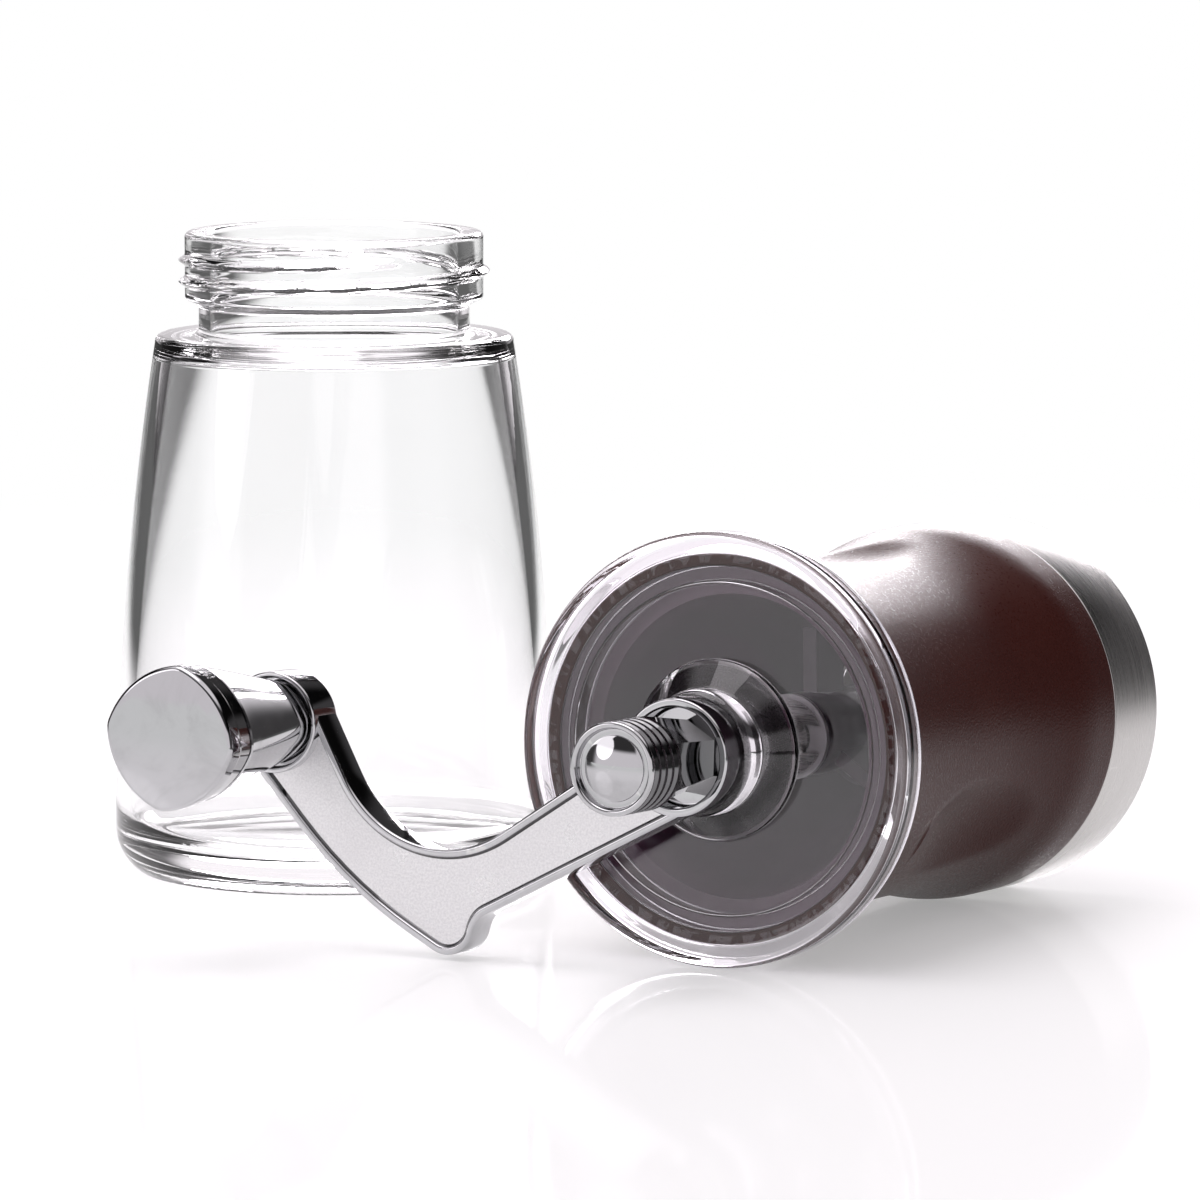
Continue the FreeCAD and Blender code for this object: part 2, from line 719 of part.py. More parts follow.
def crankArm():
    def onHub(angle):
        return f"hub_radius * cos({angle})", f"hub_radius * sin({angle})"

    def onBoss(angle):
        return f"boss_radius * cos({angle}) - crank_radius", f"boss_radius * sin({angle})"

    body = newBody("crank_arm")
    rounded = {
        "notch": ("-notch_along", "-notch_drop"),
        "heel": ("-heel_along", "-heel_drop"),
        "sweep": ("sweep_from_knob - crank_radius", "-sweep_drop"),
        "elbow": ("elbow_from_knob - crank_radius", "-elbow_drop"),
    }
    outline = draw(body, "XY_Plane", [
        onHub("arm_foot_angle"),
        onHub("arm_top_angle"),
        rounded["elbow"],
        onBoss("boss_inner_angle"),
        onBoss("boss_outer_angle"),
        rounded["sweep"],
        rounded["heel"],
        rounded["notch"],
    ], lift=armBack)
    base = prism(body, "Pad", outline, "arm_thickness")
    for name, (x, y) in rounded.items():
        doc.recompute()
        fillet = body.newObject("PartDesign::Fillet", f"crank_arm_{name}")
        fillet.Base = (base, [uprightEdge(base, x, y)])
        fillet.setExpression("Radius", tied(f"{name}_round"))
        base = fillet
    doc.recompute()
    # front face sunk inside a raised border
    inset = body.newObject("PartDesign::SubShapeBinder", "crank_arm_inset")
    inset.Support = [(base, (topFace(base, armFront),))]
    inset.setExpression("Offset", tied("-arm_border"))
    doc.recompute()
    prism(body, "Pocket", inset, "arm_recess")
    # hub: an open cup round the nut's foot, with a square hole for the shaft
    turned(body, box(("0", armBack), ("hub_radius", armFront)))
    turned(body, box(("0", capLow), ("hub_radius - hub_wall", armFront)), kind="Groove")
    square = "(shaft_square / 2 + seat_fit)"
    hole = draw(body, "XY_Plane", box((f"-{square}", f"-{square}"), (square, square)), lift=capLow)
    prism(body, "Pocket", hole, "hub_floor")
    # boss: a shallow cup that takes the knob's foot
    axis = "-crank_radius"
    cup = "boss_radius - boss_wall - crank_radius"
    pinHole = "knob_pin_radius + seat_fit - crank_radius"
    turned(body, box((axis, armBack), ("boss_radius - crank_radius", bossTop)), axisAt=axis)
    turned(body, box((axis, bossFloor), (cup, bossTop)), kind="Groove", axisAt=axis)
    turned(body, box((axis, armBack), (pinHole, bossFloor)), kind="Groove", axisAt=axis)


def capNut():
    bore = "stud_radius + running_fit"
    shoulder = f"{capLow} + cap_hex_length"
    foot = "hub_radius - hub_wall - face_gap"
    corners = [
        (bore, capLow),
        (foot, capLow),
        (foot, f"{shoulder} - cap_ring_depth"),
        ("cap_radius", shoulder),
    ]
    for index in range(int(amount("cap_rings"))):
        groove = f"{shoulder} + cap_ring_pitch * {index} + cap_ring_pitch / 2"
        corners += [
            ("cap_radius", groove),
            ("cap_radius - cap_ring_depth", f"{groove} + cap_ring_depth"),
            ("cap_radius", f"{groove} + cap_ring_depth * 2"),
        ]
    domeStart = len(corners) + 3
    corners += [
        ("cap_radius", capHigh),
        ("cap_radius - cap_rim", capHigh),
        ("cap_dome_radius", f"{capHigh} - cap_dish"),
        ("cap_dome_radius", f"{capHigh} - cap_dish / 2"),
        ("0", capHigh),
        ("0", f"{capLow} + stud_length + face_gap"),
        (bore, f"{capLow} + stud_length + face_gap"),
    ]
    dome = "(cap_dome_radius^2 + cap_dish^2 / 4) / cap_dish"
    body = lathe("cap_nut", corners, {domeStart: (dome, -1)})
    # tapered flats round the foot
    beyond = "cap_radius * 2"
    flat = draw(body, "XZ_Plane", [("cap_hex_low", capLow), (beyond, capLow), (beyond, shoulder),
                                   ("cap_hex_high", f"{shoulder} - cap_ring_depth")])
    around(body, prism(body, "Pocket", flat, f"{beyond} * 2", both=True), "cap_sides")


def cushion(body, half, corner, bulge, height):
    # square with bowed sides and round corners, all tangent
    offset = f"({bulge} - ({half}))"
    reach = f"({bulge} - {corner})"
    centre = f"((sqrt(2 * {reach}^2 - {offset}^2) - {offset}) / 2)"
    along = f"({bulge} * {centre} / {reach})"
    out = f"({bulge} * ({centre} + {offset}) / {reach} - {offset})"
    corners = [(out, f"-{along}"), (out, along), (along, out), (f"-{along}", out),
               (f"-{out}", along), (f"-{out}", f"-{along}"), (f"-{along}", f"-{out}"), (along, f"-{out}")]
    arcs = {side: (corner if side % 2 else bulge, -1) for side in range(8)}
    return draw(body, "XY_Plane", corners, arcs, lift=height)


def knob():
    pinBore = "knob_pin_radius + running_fit"
    bush = f"{pinBore} + knob_bush_wall"
    boreTop = f"{knobLow} + knob_bore_floor"
    body = newBody("knob_shell")
    ridgeLow = f"{knobCapLow} - knob_ridge_height"
    neckHigh = f"{ridgeLow} - knob_groove"
    neck = cushion(body, "knob_neck", "knob_neck_corner", "knob_neck_bulge", knobLow)
    loft = feature(body, "AdditiveLoft", neck)
    loft.Sections = [cushion(body, "knob_ridge", "knob_corner", "knob_bulge", neckHigh)]
    slot = cushion(body, "knob_ridge - knob_groove", "knob_corner", "knob_bulge", neckHigh)
    prism(body, "Pad", slot, "knob_groove")
    ridge = cushion(body, "knob_ridge", "knob_corner", "knob_bulge", ridgeLow)
    prism(body, "Pad", ridge, "knob_ridge_height")
    turned(body, [
        ("0", knobLow),
        (f"{bush} + seat_fit", knobLow),
        (f"{bush} + seat_fit", boreTop),
        ("knob_cavity", boreTop),
        ("knob_cavity", knobCapLow),
        ("0", knobCapLow),
    ], kind="Groove")
    lathe("knob_bush", box((pinBore, knobLow), (bush, boreTop)))

    body = newBody("knob_cap")
    foot = cushion(body, "knob_face - knob_groove", "knob_corner", "knob_bulge", knobCapLow)
    prism(body, "Pad", foot, "knob_groove")
    face = cushion(body, "knob_face", "knob_corner", "knob_bulge", f"{knobCapLow} + knob_groove")
    base = prism(body, "Pad", face, "knob_cap_height - knob_groove")
    doc.recompute()
    edge = body.newObject("PartDesign::Fillet", "knob_cap_edge")
    edge.Base = (base, [topFace(base, knobHigh)])
    edge.setExpression("Radius", tied("knob_cap_edge"))

    headLow = f"{boreTop} + running_fit"
    headHigh = f"{headLow} + knob_pin_head_height"
    lathe("knob_pin", [
        ("0", armBack),
        ("knob_pin_radius", armBack),
        ("knob_pin_radius", headLow),
        ("knob_pin_head", headLow),
        ("knob_pin_head", headHigh),
        ("0", headHigh),
    ])
    lathe("knob_washer", box(("knob_pin_radius + seat_fit", bossFloor),
                             ("knob_washer_radius", f"{bossFloor} + knob_washer_wall")))


def glassJar():
    heel = "((jar_radius - jar_rest_radius)^2 + jar_heel^2) / (2 * (jar_radius - jar_rest_radius))"
    rest = "jar_rest_radius - jar_rest_width"
    shoulder = "jar_shoulder_height - jar_shoulder_round"
    finish = "jar_shoulder_height + neck_height"
    rim = f"{finish} + finish_height"
    inside = "jar_radius - jar_wall"
    lathe("glass_jar", [
        ("0", "jar_push"),
        (f"{rest} - jar_push", "jar_push"),
        (rest, "0"),
        ("jar_rest_radius", "0"),
        ("jar_radius", "jar_heel"),
        ("jar_radius", "jar_foot"),
        ("jar_shoulder_radius", shoulder),
        ("jar_shoulder_radius - jar_shoulder_round", "jar_shoulder_height"),
        ("neck_radius", "jar_shoulder_height"),
        ("neck_radius", finish),
        ("finish_radius", f"{finish} + (finish_radius - neck_radius) / 2"),
        ("finish_radius", f"{rim} - rim_round"),
        ("finish_radius - rim_round", rim),
        ("mouth_bore + rim_round", rim),
        ("mouth_bore", f"{rim} - rim_round"),
        ("mouth_bore", "jar_shoulder_height - jar_wall / 2"),
        ("jar_shoulder_radius - jar_wall - jar_inner_shoulder", "jar_shoulder_height - jar_wall"),
        ("jar_shoulder_radius - jar_wall", "jar_shoulder_height - jar_wall - jar_inner_shoulder"),
        (inside, "jar_foot"),
        (inside, "jar_base + jar_inner_heel"),
        (f"{inside} - jar_inner_heel", "jar_base"),
        ("0", "jar_base"),
    ], {3: (heel, -1), 5: ("jar_sweep", -1), 6: ("jar_shoulder_round", -1), 11: ("rim_round", -1),
        13: ("rim_round", -1), 16: ("jar_inner_shoulder", 1), 17: ("jar_sweep - jar_wall", 1),
        19: ("jar_inner_heel", 1)})


bodyShell()
steelBand()
clearLid()
hopper()
bushes()
burrs()
adjuster()
driveShaft()
burrSpring()
crankArm()
capNut()
knob()
glassJar()
doc.recompute()

# The head lies on its lid's bead and the corner of its band, lid end towards -Y
rise = amount(f"{lidRadius} - lid_edge - band_radius")
reach = amount("head_length")
tilt = math.atan2(rise, reach) + math.asin(amount("lid_edge") / math.hypot(rise, reach))
lying = Placement(
    Vector(amount("lid_x"), amount("lid_y") + reach * math.cos(tilt), amount("band_radius") * math.cos(tilt)),
    Rotation(Vector(1, 0, 0), 90 - math.degrees(tilt)),
)


def turnedBy(degrees):
    return Placement(Vector(), Rotation(Vector(0, 0, 1), degrees))


crankPose = lying * turnedBy(amount("crank_rest"))
knobAxis = crankPose * Placement(Vector(-amount("crank_radius"), 0, 0), Rotation())
jarPose = Placement(Vector(amount("jar_x"), amount("jar_y"), 0), Rotation())
groups = [
    (lying * turnedBy(amount("dimple_angle")), ["body_shell", "steel_band", "clear_lid", "lid_bush", "hopper",
                                               "lower_bush", "upper_bush", "outer_burr", "burr_holder",
                                               "burr_holder_screws"]),
    (crankPose, ["drive_shaft", "retaining_clip", "spring_washer", "burr_spring", "crank_arm", "cap_nut",
                 "inner_burr", "burr_key", "adjusting_nut", "nut_insert"]),
    (knobAxis, ["knob_pin", "knob_washer"]),
    (knobAxis * turnedBy(amount("knob_turn")), ["knob_shell", "knob_cap", "knob_bush"]),
    (jarPose, ["glass_jar"]),
]
for pose, labels in groups:
    for label in labels:
        pieces[label].Placement = pose
doc.recompute()

for thing in doc.Objects:
    if "Invalid" in thing.State or "Error" in thing.State:
        raise RuntimeError(f"{thing.Label} did not build: {thing.State}")
for label, piece in pieces.items():
    if piece.Shape.isNull() or not piece.Shape.isValid():
        raise RuntimeError(f"{label} has no valid shape")

os.makedirs("parts", exist_ok=True)
whole = FreeCAD.BoundBox()
for label, piece in pieces.items():
    piece.Shape.exportStep(f"parts/{label}.step")
    whole.add(piece.Shape.optimalBoundingBox(False))
    print(f"{label}: {len(piece.Shape.Solids)} solid, {piece.Shape.Volume:.0f} mm3")
print("box", [round(v, 2) for v in (whole.XMin, whole.YMin, whole.ZMin, whole.XMax, whole.YMax, whole.ZMax)])
for name, pose in (("head axis", lying), ("knob axis", knobAxis)):
    print(name, "through", pose.Base, "along", pose.Rotation.multVec(Vector(0, 0, 1)))
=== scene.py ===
import json
import math
import bmesh
import bpy
from mathutils import Matrix, Vector
from types import SimpleNamespace


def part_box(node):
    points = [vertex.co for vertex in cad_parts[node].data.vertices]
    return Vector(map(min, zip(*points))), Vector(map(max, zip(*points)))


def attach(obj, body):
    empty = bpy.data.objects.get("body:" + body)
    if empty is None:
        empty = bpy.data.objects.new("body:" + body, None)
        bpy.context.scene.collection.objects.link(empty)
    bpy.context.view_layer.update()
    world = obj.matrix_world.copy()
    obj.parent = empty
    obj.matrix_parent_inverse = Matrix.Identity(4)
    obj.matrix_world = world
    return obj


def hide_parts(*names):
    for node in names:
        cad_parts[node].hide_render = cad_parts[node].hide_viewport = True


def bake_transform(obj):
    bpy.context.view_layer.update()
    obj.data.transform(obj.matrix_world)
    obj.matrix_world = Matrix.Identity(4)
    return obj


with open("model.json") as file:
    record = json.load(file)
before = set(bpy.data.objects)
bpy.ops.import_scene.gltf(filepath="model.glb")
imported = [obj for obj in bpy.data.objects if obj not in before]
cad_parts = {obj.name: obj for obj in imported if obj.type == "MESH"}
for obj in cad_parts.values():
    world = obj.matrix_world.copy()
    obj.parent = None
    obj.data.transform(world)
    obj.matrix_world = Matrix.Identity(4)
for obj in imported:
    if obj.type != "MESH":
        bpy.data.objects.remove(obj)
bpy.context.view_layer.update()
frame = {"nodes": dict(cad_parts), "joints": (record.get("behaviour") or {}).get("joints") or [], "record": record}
nodes = frame["nodes"]
joints = {joint["name"]: joint for joint in frame["joints"]}
slots = {row["node"]: row["material_slot"] for row in frame["record"]["subparts"]}
scene = bpy.context.scene
mm = 0.001
near = 0.01  # mm: two measures closer than this are the same
onAxis = 1e-4  # mm: a radius under this is a point on the axis
print("frame loaded,", len(nodes), "nodes")

# where each moving group stands: mm up the shaft from the band's open end, degrees round it
places = {
    "crankAnchor": 100,
    "knobAnchor": 125,
    "headTurn": -31,
    "crankTurn": -0.7,
    "knobTurn": 38,
}


def lying(joint, anchorHeight, turn):
    # local z runs up the joint's axis and local x is level; the turn is made in the mesh
    up = Vector(joint["axis"]).normalized()
    side = Vector((1, 0, 0))
    place = Matrix((side, up.cross(side), up)).transposed().to_4x4()
    place.translation = Vector(joint["pos_m"]) - up * anchorHeight * mm
    return place, math.radians(turn)


headPlace = lying(joints["crank_turn"], places["crankAnchor"], places["headTurn"])
crankPlace = lying(joints["crank_turn"], places["crankAnchor"], places["crankTurn"])
knobPlace = lying(joints["knob_spin"], places["knobAnchor"], places["crankTurn"] + places["knobTurn"])
jarLow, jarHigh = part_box("glass_jar")
jarPlace = Matrix.Translation(((jarLow.x + jarHigh.x) / 2, (jarLow.y + jarHigh.y) / 2, 0)), 0


# Outlines are drawn in millimetres, out from the axis and up it
def same(first, second):
    return abs(first - second) < near


def eased(corners, chord=12):
    # a third number at a corner rounds it; chord is the arc's step in degrees
    points = []
    for index, corner in enumerate(corners):
        here = Vector(corner[:2])
        if len(corner) < 3:
            points.append(here)
            continue
        back = (Vector(corners[index - 1][:2]) - here).normalized()
        ahead = (Vector(corners[(index + 1) % len(corners)][:2]) - here).normalized()
        half = math.acos(max(-1, min(1, back.dot(ahead)))) / 2
        centre = here + (back + ahead).normalized() * (corner[2] / math.sin(half))
        reach = corner[2] / math.tan(half)
        first = here + back * reach - centre
        last = here + ahead * reach - centre
        sweep = math.atan2(first.x * last.y - first.y * last.x, first.dot(last))
        steps = max(2, math.ceil(abs(math.degrees(sweep)) / chord))
        for step in range(steps + 1):
            turn = Matrix.Rotation(sweep * step / steps, 2)
            points.append(centre + turn @ first)
    return points


def bowed(start, end, radius, hand, steps):
    # points of an arc from start up to, but without, end; hand +1 bulges left of the way, -1 right
    start, end = Vector(start), Vector(end)
    way = end - start
    left = Vector((-way.y, way.x)).normalized()
    centre = start + way / 2 - left * hand * math.sqrt(radius * radius - way.length_squared / 4)
    first, last = start - centre, end - centre
    sweep = math.atan2(first.x * last.y - first.y * last.x, first.dot(last))
    return [centre + Matrix.Rotation(sweep * step / steps, 2) @ first for step in range(steps)]


def quarter(radius, steps):
    # a rounded edge: how far in from the side and how far off the face, from the face to the side
    turns = [math.radians(90 * step / steps) for step in range(steps + 1)]
    return [(radius * (1 - math.sin(turn)), radius * (1 - math.cos(turn))) for turn in turns]


def evenly(start, end, step):
    # points along a straight run, without its end
    start, end = Vector(start), Vector(end)
    count = max(1, math.ceil((end - start).length / step))
    return [start.lerp(end, index / count) for index in range(count)]


def spaced(line, count):
    # as many points as asked for, evenly along a line
    lengths = [0]
    for first, last in zip(line, line[1:]):
        lengths.append(lengths[-1] + (last - first).length)
    points = []
    index = 0
    for step in range(count):
        along = lengths[-1] * step / (count - 1)
        while index < len(line) - 2 and lengths[index + 1] < along:
            index += 1
        share = (along - lengths[index]) / (lengths[index + 1] - lengths[index])
        points.append(line[index].lerp(line[index + 1], share))
    return points


def bridge(bm, ring, following):
    # faces between two rings; a ring of one point is a pole
    count = max(len(ring), len(following))
    faces = []
    for index in range(count):
        after = (index + 1) % count
        if len(ring) == 1 and len(following) == 1:
            continue
        if len(ring) == 1:
            corners = (ring[0], following[index], following[after])
        elif len(following) == 1:
            corners = (ring[index], following[0], ring[after])
        else:
            corners = (ring[index], following[index], following[after], ring[after])
        faces.append(bm.faces.new(corners))
    return faces


def spun(bm, outline, segments, shaped=None):
    # closed outline turned round z; shaped(angle, radius, height) may move a point in or out
    rings = []
    for radius, height in outline:
        if radius < onAxis:
            rings.append([bm.verts.new((0, 0, height * mm))])
            continue
        ring = []
        for index in range(segments):
            angle = 2 * math.pi * index / segments
            out = shaped(angle, radius, height) if shaped else radius
            ring.append(bm.verts.new((out * math.cos(angle) * mm, out * math.sin(angle) * mm, height * mm)))
        rings.append(ring)
    for index, ring in enumerate(rings):
        bridge(bm, ring, rings[(index + 1) % len(rings)])


def stacked(bm, loops):
    # loops are (points, height): outlines of one count, each joined to the next
    rings = [[bm.verts.new((x * mm, y * mm, height * mm)) for x, y in points] for points, height in loops]
    return rings, [bridge(bm, ring, rings[index + 1]) for index, ring in enumerate(rings[:-1])]


def placed(name, data):
    made = bpy.data.objects.new(name, data)
    scene.collection.objects.link(made)
    return made


def meshed(name, bm):
    mesh = bpy.data.meshes.new(name)
    bm.to_mesh(mesh)
    bm.free()
    return placed(name, mesh)


def piece(name, bm, place, body, node, materials=None, sharp=32):
    # edges that turn by more than sharp degrees stay crisp; the node's slot names its usual finish
    matrix, turn = place
    bmesh.ops.rotate(bm, verts=bm.verts, cent=(0, 0, 0), matrix=Matrix.Rotation(turn, 3, "Z"))
    bmesh.ops.recalc_face_normals(bm, faces=bm.faces)
    made = meshed(name, bm)
    mesh = made.data
    mesh.polygons.foreach_set("use_smooth", [True] * len(mesh.polygons))
    mesh.set_sharp_from_angle(angle=math.radians(sharp))
    for material in materials or [finishes[slots[node]]]:
        mesh.materials.append(material)
    made.matrix_world = matrix
    if body:
        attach(made, body)
    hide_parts(node)
    print(name, len(mesh.polygons), "faces")
    return made


# Shader node groups shared by the finishes
def add(tree, kind, settings=None, **values):
    node = tree.nodes.new("ShaderNode" + kind)
    for key, value in (settings or {}).items():
        setattr(node, key, value)
    for key, value in values.items():
        node.inputs[key].default_value = value
    return node


def newGroup(name, inputs, outputs):
    tree = bpy.data.node_groups.new(name, "ShaderNodeTree")
    for label, value in inputs.items():
        socket = tree.interface.new_socket(label, in_out="INPUT", socket_type="NodeSocketFloat")
        socket.default_value = value
    for label in outputs:
        tree.interface.new_socket(label, in_out="OUTPUT", socket_type="NodeSocketFloat")
    return tree, tree.nodes.new("NodeGroupInput"), tree.nodes.new("NodeGroupOutput")


def give(tree, value, socket):
    # another node's output is linked, a plain number or colour is set
    if isinstance(value, bpy.types.NodeSocket):
        tree.links.new(value, socket)
    else:
        socket.default_value = value


def ranged(tree, source, low, high, toLow=0.0, toHigh=1.0):
    node = add(tree, "MapRange", {"interpolation_type": "SMOOTHSTEP"})
    for value, socket in zip((source, low, high, toLow, toHigh), node.inputs):
        give(tree, value, socket)
    return node.outputs[0]


def maths(tree, operation, first, second):
    node = add(tree, "Math", {"operation": operation})
    give(tree, first, node.inputs[0])
    give(tree, second, node.inputs[1])
    return node.outputs[0]


mixSockets = {"FLOAT": (2, 3, 0), "RGBA": (6, 7, 2)}  # the Mix node's two inputs and its result


def mixed(tree, kind, share, first, second):
    node = add(tree, "Mix", {"data_type": kind})
    firstIn, secondIn, result = mixSockets[kind]
    give(tree, share, node.inputs["Factor"])
    give(tree, first, node.inputs[firstIn])
    give(tree, second, node.inputs[secondIn])
    return node.outputs[result]


def mixedShader(tree, share, first, second):
    node = add(tree, "MixShader")
    for value, socket in zip((share, first, second), node.inputs):
        give(tree, value, socket)
    return node.outputs[0]


def grainGroup():
    # fine moulded or blasted grain, with broad soft patches
    tree, given, out = newGroup("fineGrain", {"Scale": 3000, "Patches": 60}, ["Grain", "Patch", "Height"])
    link = tree.links.new
    place = add(tree, "TexCoord")
    fine = add(tree, "TexNoise", Detail=3.0, Roughness=0.65)
    speck = add(tree, "TexVoronoi", Randomness=1.0)
    broad = add(tree, "TexNoise", Detail=4.0, Roughness=0.55)
    for node, label in ((fine, "Scale"), (speck, "Scale"), (broad, "Patches")):
        link(place.outputs["Object"], node.inputs["Vector"])
        link(given.outputs[label], node.inputs["Scale"])
    link(ranged(tree, fine.outputs["Fac"], 0.3, 0.7), out.inputs["Grain"])
    link(ranged(tree, broad.outputs["Fac"], 0.3, 0.7), out.inputs["Patch"])
    link(maths(tree, "ADD", fine.outputs["Fac"], speck.outputs["Distance"]), out.inputs["Height"])
    return tree


def brushGroup():
    # fine lines round local z, as brushing or turning leaves
    tree, given, out = newGroup("brushLines", {"Lines": 9000, "Streaks": 30}, ["Shade", "Height"])
    link = tree.links.new
    place = add(tree, "TexCoord")
    spread = add(tree, "CombineXYZ")
    stretch = add(tree, "VectorMath", {"operation": "MULTIPLY"})
    lines = add(tree, "TexNoise", Scale=1.0, Detail=5.0, Roughness=0.7)
    for axis, label in zip("XYZ", ("Streaks", "Streaks", "Lines")):
        link(given.outputs[label], spread.inputs[axis])
    link(place.outputs["Object"], stretch.inputs[0])
    link(spread.outputs[0], stretch.inputs[1])
    link(stretch.outputs[0], lines.inputs["Vector"])
    link(ranged(tree, lines.outputs["Fac"], 0.25, 0.75), out.inputs["Shade"])
    link(lines.outputs["Fac"], out.inputs["Height"])
    return tree


def handlingGroup():
    # faint smudges, and a few hairline scratches
    tree, given, out = newGroup("handling", {"Smudges": 90, "Scratches": 60}, ["Smudge", "Scratch"])
    link = tree.links.new
    place = add(tree, "TexCoord")
    smear = add(tree, "TexNoise", Detail=5.0, Roughness=0.6, Distortion=0.6)
    tilt = add(tree, "Mapping", Rotation=(0.5, 0.9, 0.4), Scale=(1, 40, 3))
    hair = add(tree, "TexNoise", Detail=2.0, Roughness=0.5)
    link(place.outputs["Object"], smear.inputs["Vector"])
    link(place.outputs["Object"], tilt.inputs["Vector"])
    link(tilt.outputs[0], hair.inputs["Vector"])
    link(given.outputs["Smudges"], smear.inputs["Scale"])
    link(given.outputs["Scratches"], hair.inputs["Scale"])
    link(ranged(tree, smear.outputs["Fac"], 0.45, 0.75), out.inputs["Smudge"])
    link(ranged(tree, hair.outputs["Fac"], 0.7, 0.76), out.inputs["Scratch"])
    return tree


def edgeGroup():
    # worn or polished corners
    tree, given, out = newGroup("edgeWear", {"From": 0.51, "To": 0.6}, ["Edge"])
    pointed = add(tree, "NewGeometry").outputs["Pointiness"]
    worn = ranged(tree, pointed, given.outputs["From"], given.outputs["To"])
    tree.links.new(worn, out.inputs["Edge"])
    return tree


groups = {"grain": grainGroup(), "brush": brushGroup(), "handling": handlingGroup(), "edge": edgeGroup()}
print("shader groups built:", ", ".join(groups))


class Finish:
    # one material: its tree, its main shader and short ways to wire them
    def __init__(self, name, **values):
        self.material = bpy.data.materials.new(name)
        self.material.use_nodes = True
        self.tree = self.material.node_tree
        self.shader = self.tree.nodes["Principled BSDF"]
        for key, value in values.items():
            self.shader.inputs[key.replace("_", " ")].default_value = value

    def effect(self, name, **values):
        return add(self.tree, "Group", {"node_tree": groups[name]}, **values).outputs

    def mixed(self, share, first, second):
        first, second = ((*value, 1) if isinstance(value, tuple) else value for value in (first, second))
        return mixed(self.tree, "RGBA", share, first, second)

    def over(self, base, mask, share, colour):
        return self.mixed(maths(self.tree, "MULTIPLY", mask, share), base, colour)

    def feed(self, source, socket):
        self.tree.links.new(source, self.shader.inputs[socket])

    def coat(self, colour, roughMask, rough, bumpMask, bump):
        self.feed(colour, "Base Color")
        self.feed(ranged(self.tree, roughMask, 0, 1, *rough), "Roughness")
        strength, depth = bump
        node = add(self.tree, "Bump", Strength=strength, Distance=depth)
        self.tree.links.new(bumpMask, node.inputs["Height"])
        self.feed(node.outputs[0], "Normal")
        return self.material


# in each look, rough is from the mask's 0 to its 1, and bump is strength and depth in metres
brownLook = {
    "deep": (0.041, 0.0092, 0.0072), "warm": (0.049, 0.0122, 0.0092),
    "speck": (0.062, 0.019, 0.0155), "speckShare": 0.3,
    "worn": (0.1, 0.042, 0.034), "wornShare": 0.4,
    "rough": (0.27, 0.38), "bump": (0.35, 0.00008),
}


def softBrown():
    look = SimpleNamespace(**brownLook)
    finish = Finish("softBrown", Specular_IOR_Level=0.11)
    grain = finish.effect("grain", Scale=2300, Patches=45)
    edge = finish.effect("edge", From=0.505, To=0.56)
    base = finish.mixed(grain["Patch"], look.deep, look.warm)
    speckled = finish.over(base, grain["Grain"], look.speckShare, look.speck)
    worn = finish.over(speckled, edge["Edge"], look.wornShare, look.worn)
    return finish.coat(worn, grain["Grain"], look.rough, grain["Height"], look.bump)


steelLook = {
    "warm": (0.51, 0.5, 0.485), "pale": (0.65, 0.64, 0.625),
    "scratch": (0.75, 0.74, 0.72), "scratchShare": 0.3,
    "rough": (0.22, 0.36), "bump": (0.12, 0.00003),
}


def brushedSteel():
    look = SimpleNamespace(**steelLook)
    finish = Finish("brushedSteel", Metallic=1.0, Anisotropic=0.55)
    brush = finish.effect("brush", Lines=9000, Streaks=25)
    handled = finish.effect("handling", Smudges=70, Scratches=50)
    base = finish.mixed(brush["Shade"], look.warm, look.pale)
    scratched = finish.over(base, handled["Scratch"], look.scratchShare, look.scratch)
    finish.coat(scratched, brush["Shade"], look.rough, brush["Height"], look.bump)
    tangent = add(finish.tree, "Tangent", {"direction_type": "RADIAL", "axis": "Z"})
    finish.feed(tangent.outputs[0], "Tangent")
    return finish.material


# shares of the tone that a chrome is given
chromeLook = {
    "clean": (1, 1, 1.025), "smudged": (0.88, 0.88, 0.8976), "edge": (1.2, 1.2, 1.2),
    "rough": (0.05, 0.13), "bump": (0.05, 0.00001),
}


def polishedChrome(name, tone):
    look = SimpleNamespace(**chromeLook)
    clean, smudged, bright = (
        tuple(tone * share for share in chromeLook[key]) for key in ("clean", "smudged", "edge")
    )
    finish = Finish(name, Metallic=1.0)
    handled = finish.effect("handling", Smudges=120, Scratches=70)
    edge = finish.effect("edge", From=0.52, To=0.62)
    base = finish.mixed(handled["Smudge"], clean, smudged)
    polished = finish.mixed(edge["Edge"], base, bright)
    return finish.coat(polished, handled["Smudge"], look.rough, handled["Scratch"], look.bump)


plateLook = {
    "low": (0.64, 0.635, 0.645), "high": (0.76, 0.755, 0.76),
    "smudge": (0.6, 0.59, 0.6), "smudgeShare": 0.3,
    "rough": (0.26, 0.34), "bump": (0.3, 0.00005),
}


def satinFace():
    # blasted plate inside the arm's polished border
    look = SimpleNamespace(**plateLook)
    finish = Finish("satinFace", Metallic=1.0)
    grain = finish.effect("grain", Scale=2600, Patches=70)
    handled = finish.effect("handling", Smudges=60, Scratches=40)
    base = finish.mixed(grain["Grain"], look.low, look.high)
    smudged = finish.over(base, handled["Smudge"], look.smudgeShare, look.smudge)
    return finish.coat(smudged, grain["Patch"], look.rough, grain["Height"], look.bump)


clearLook = {"smudged": 0.985, "shadow": 0.97, "rough": (0.0, 0.025), "waveDepth": 0.0002}


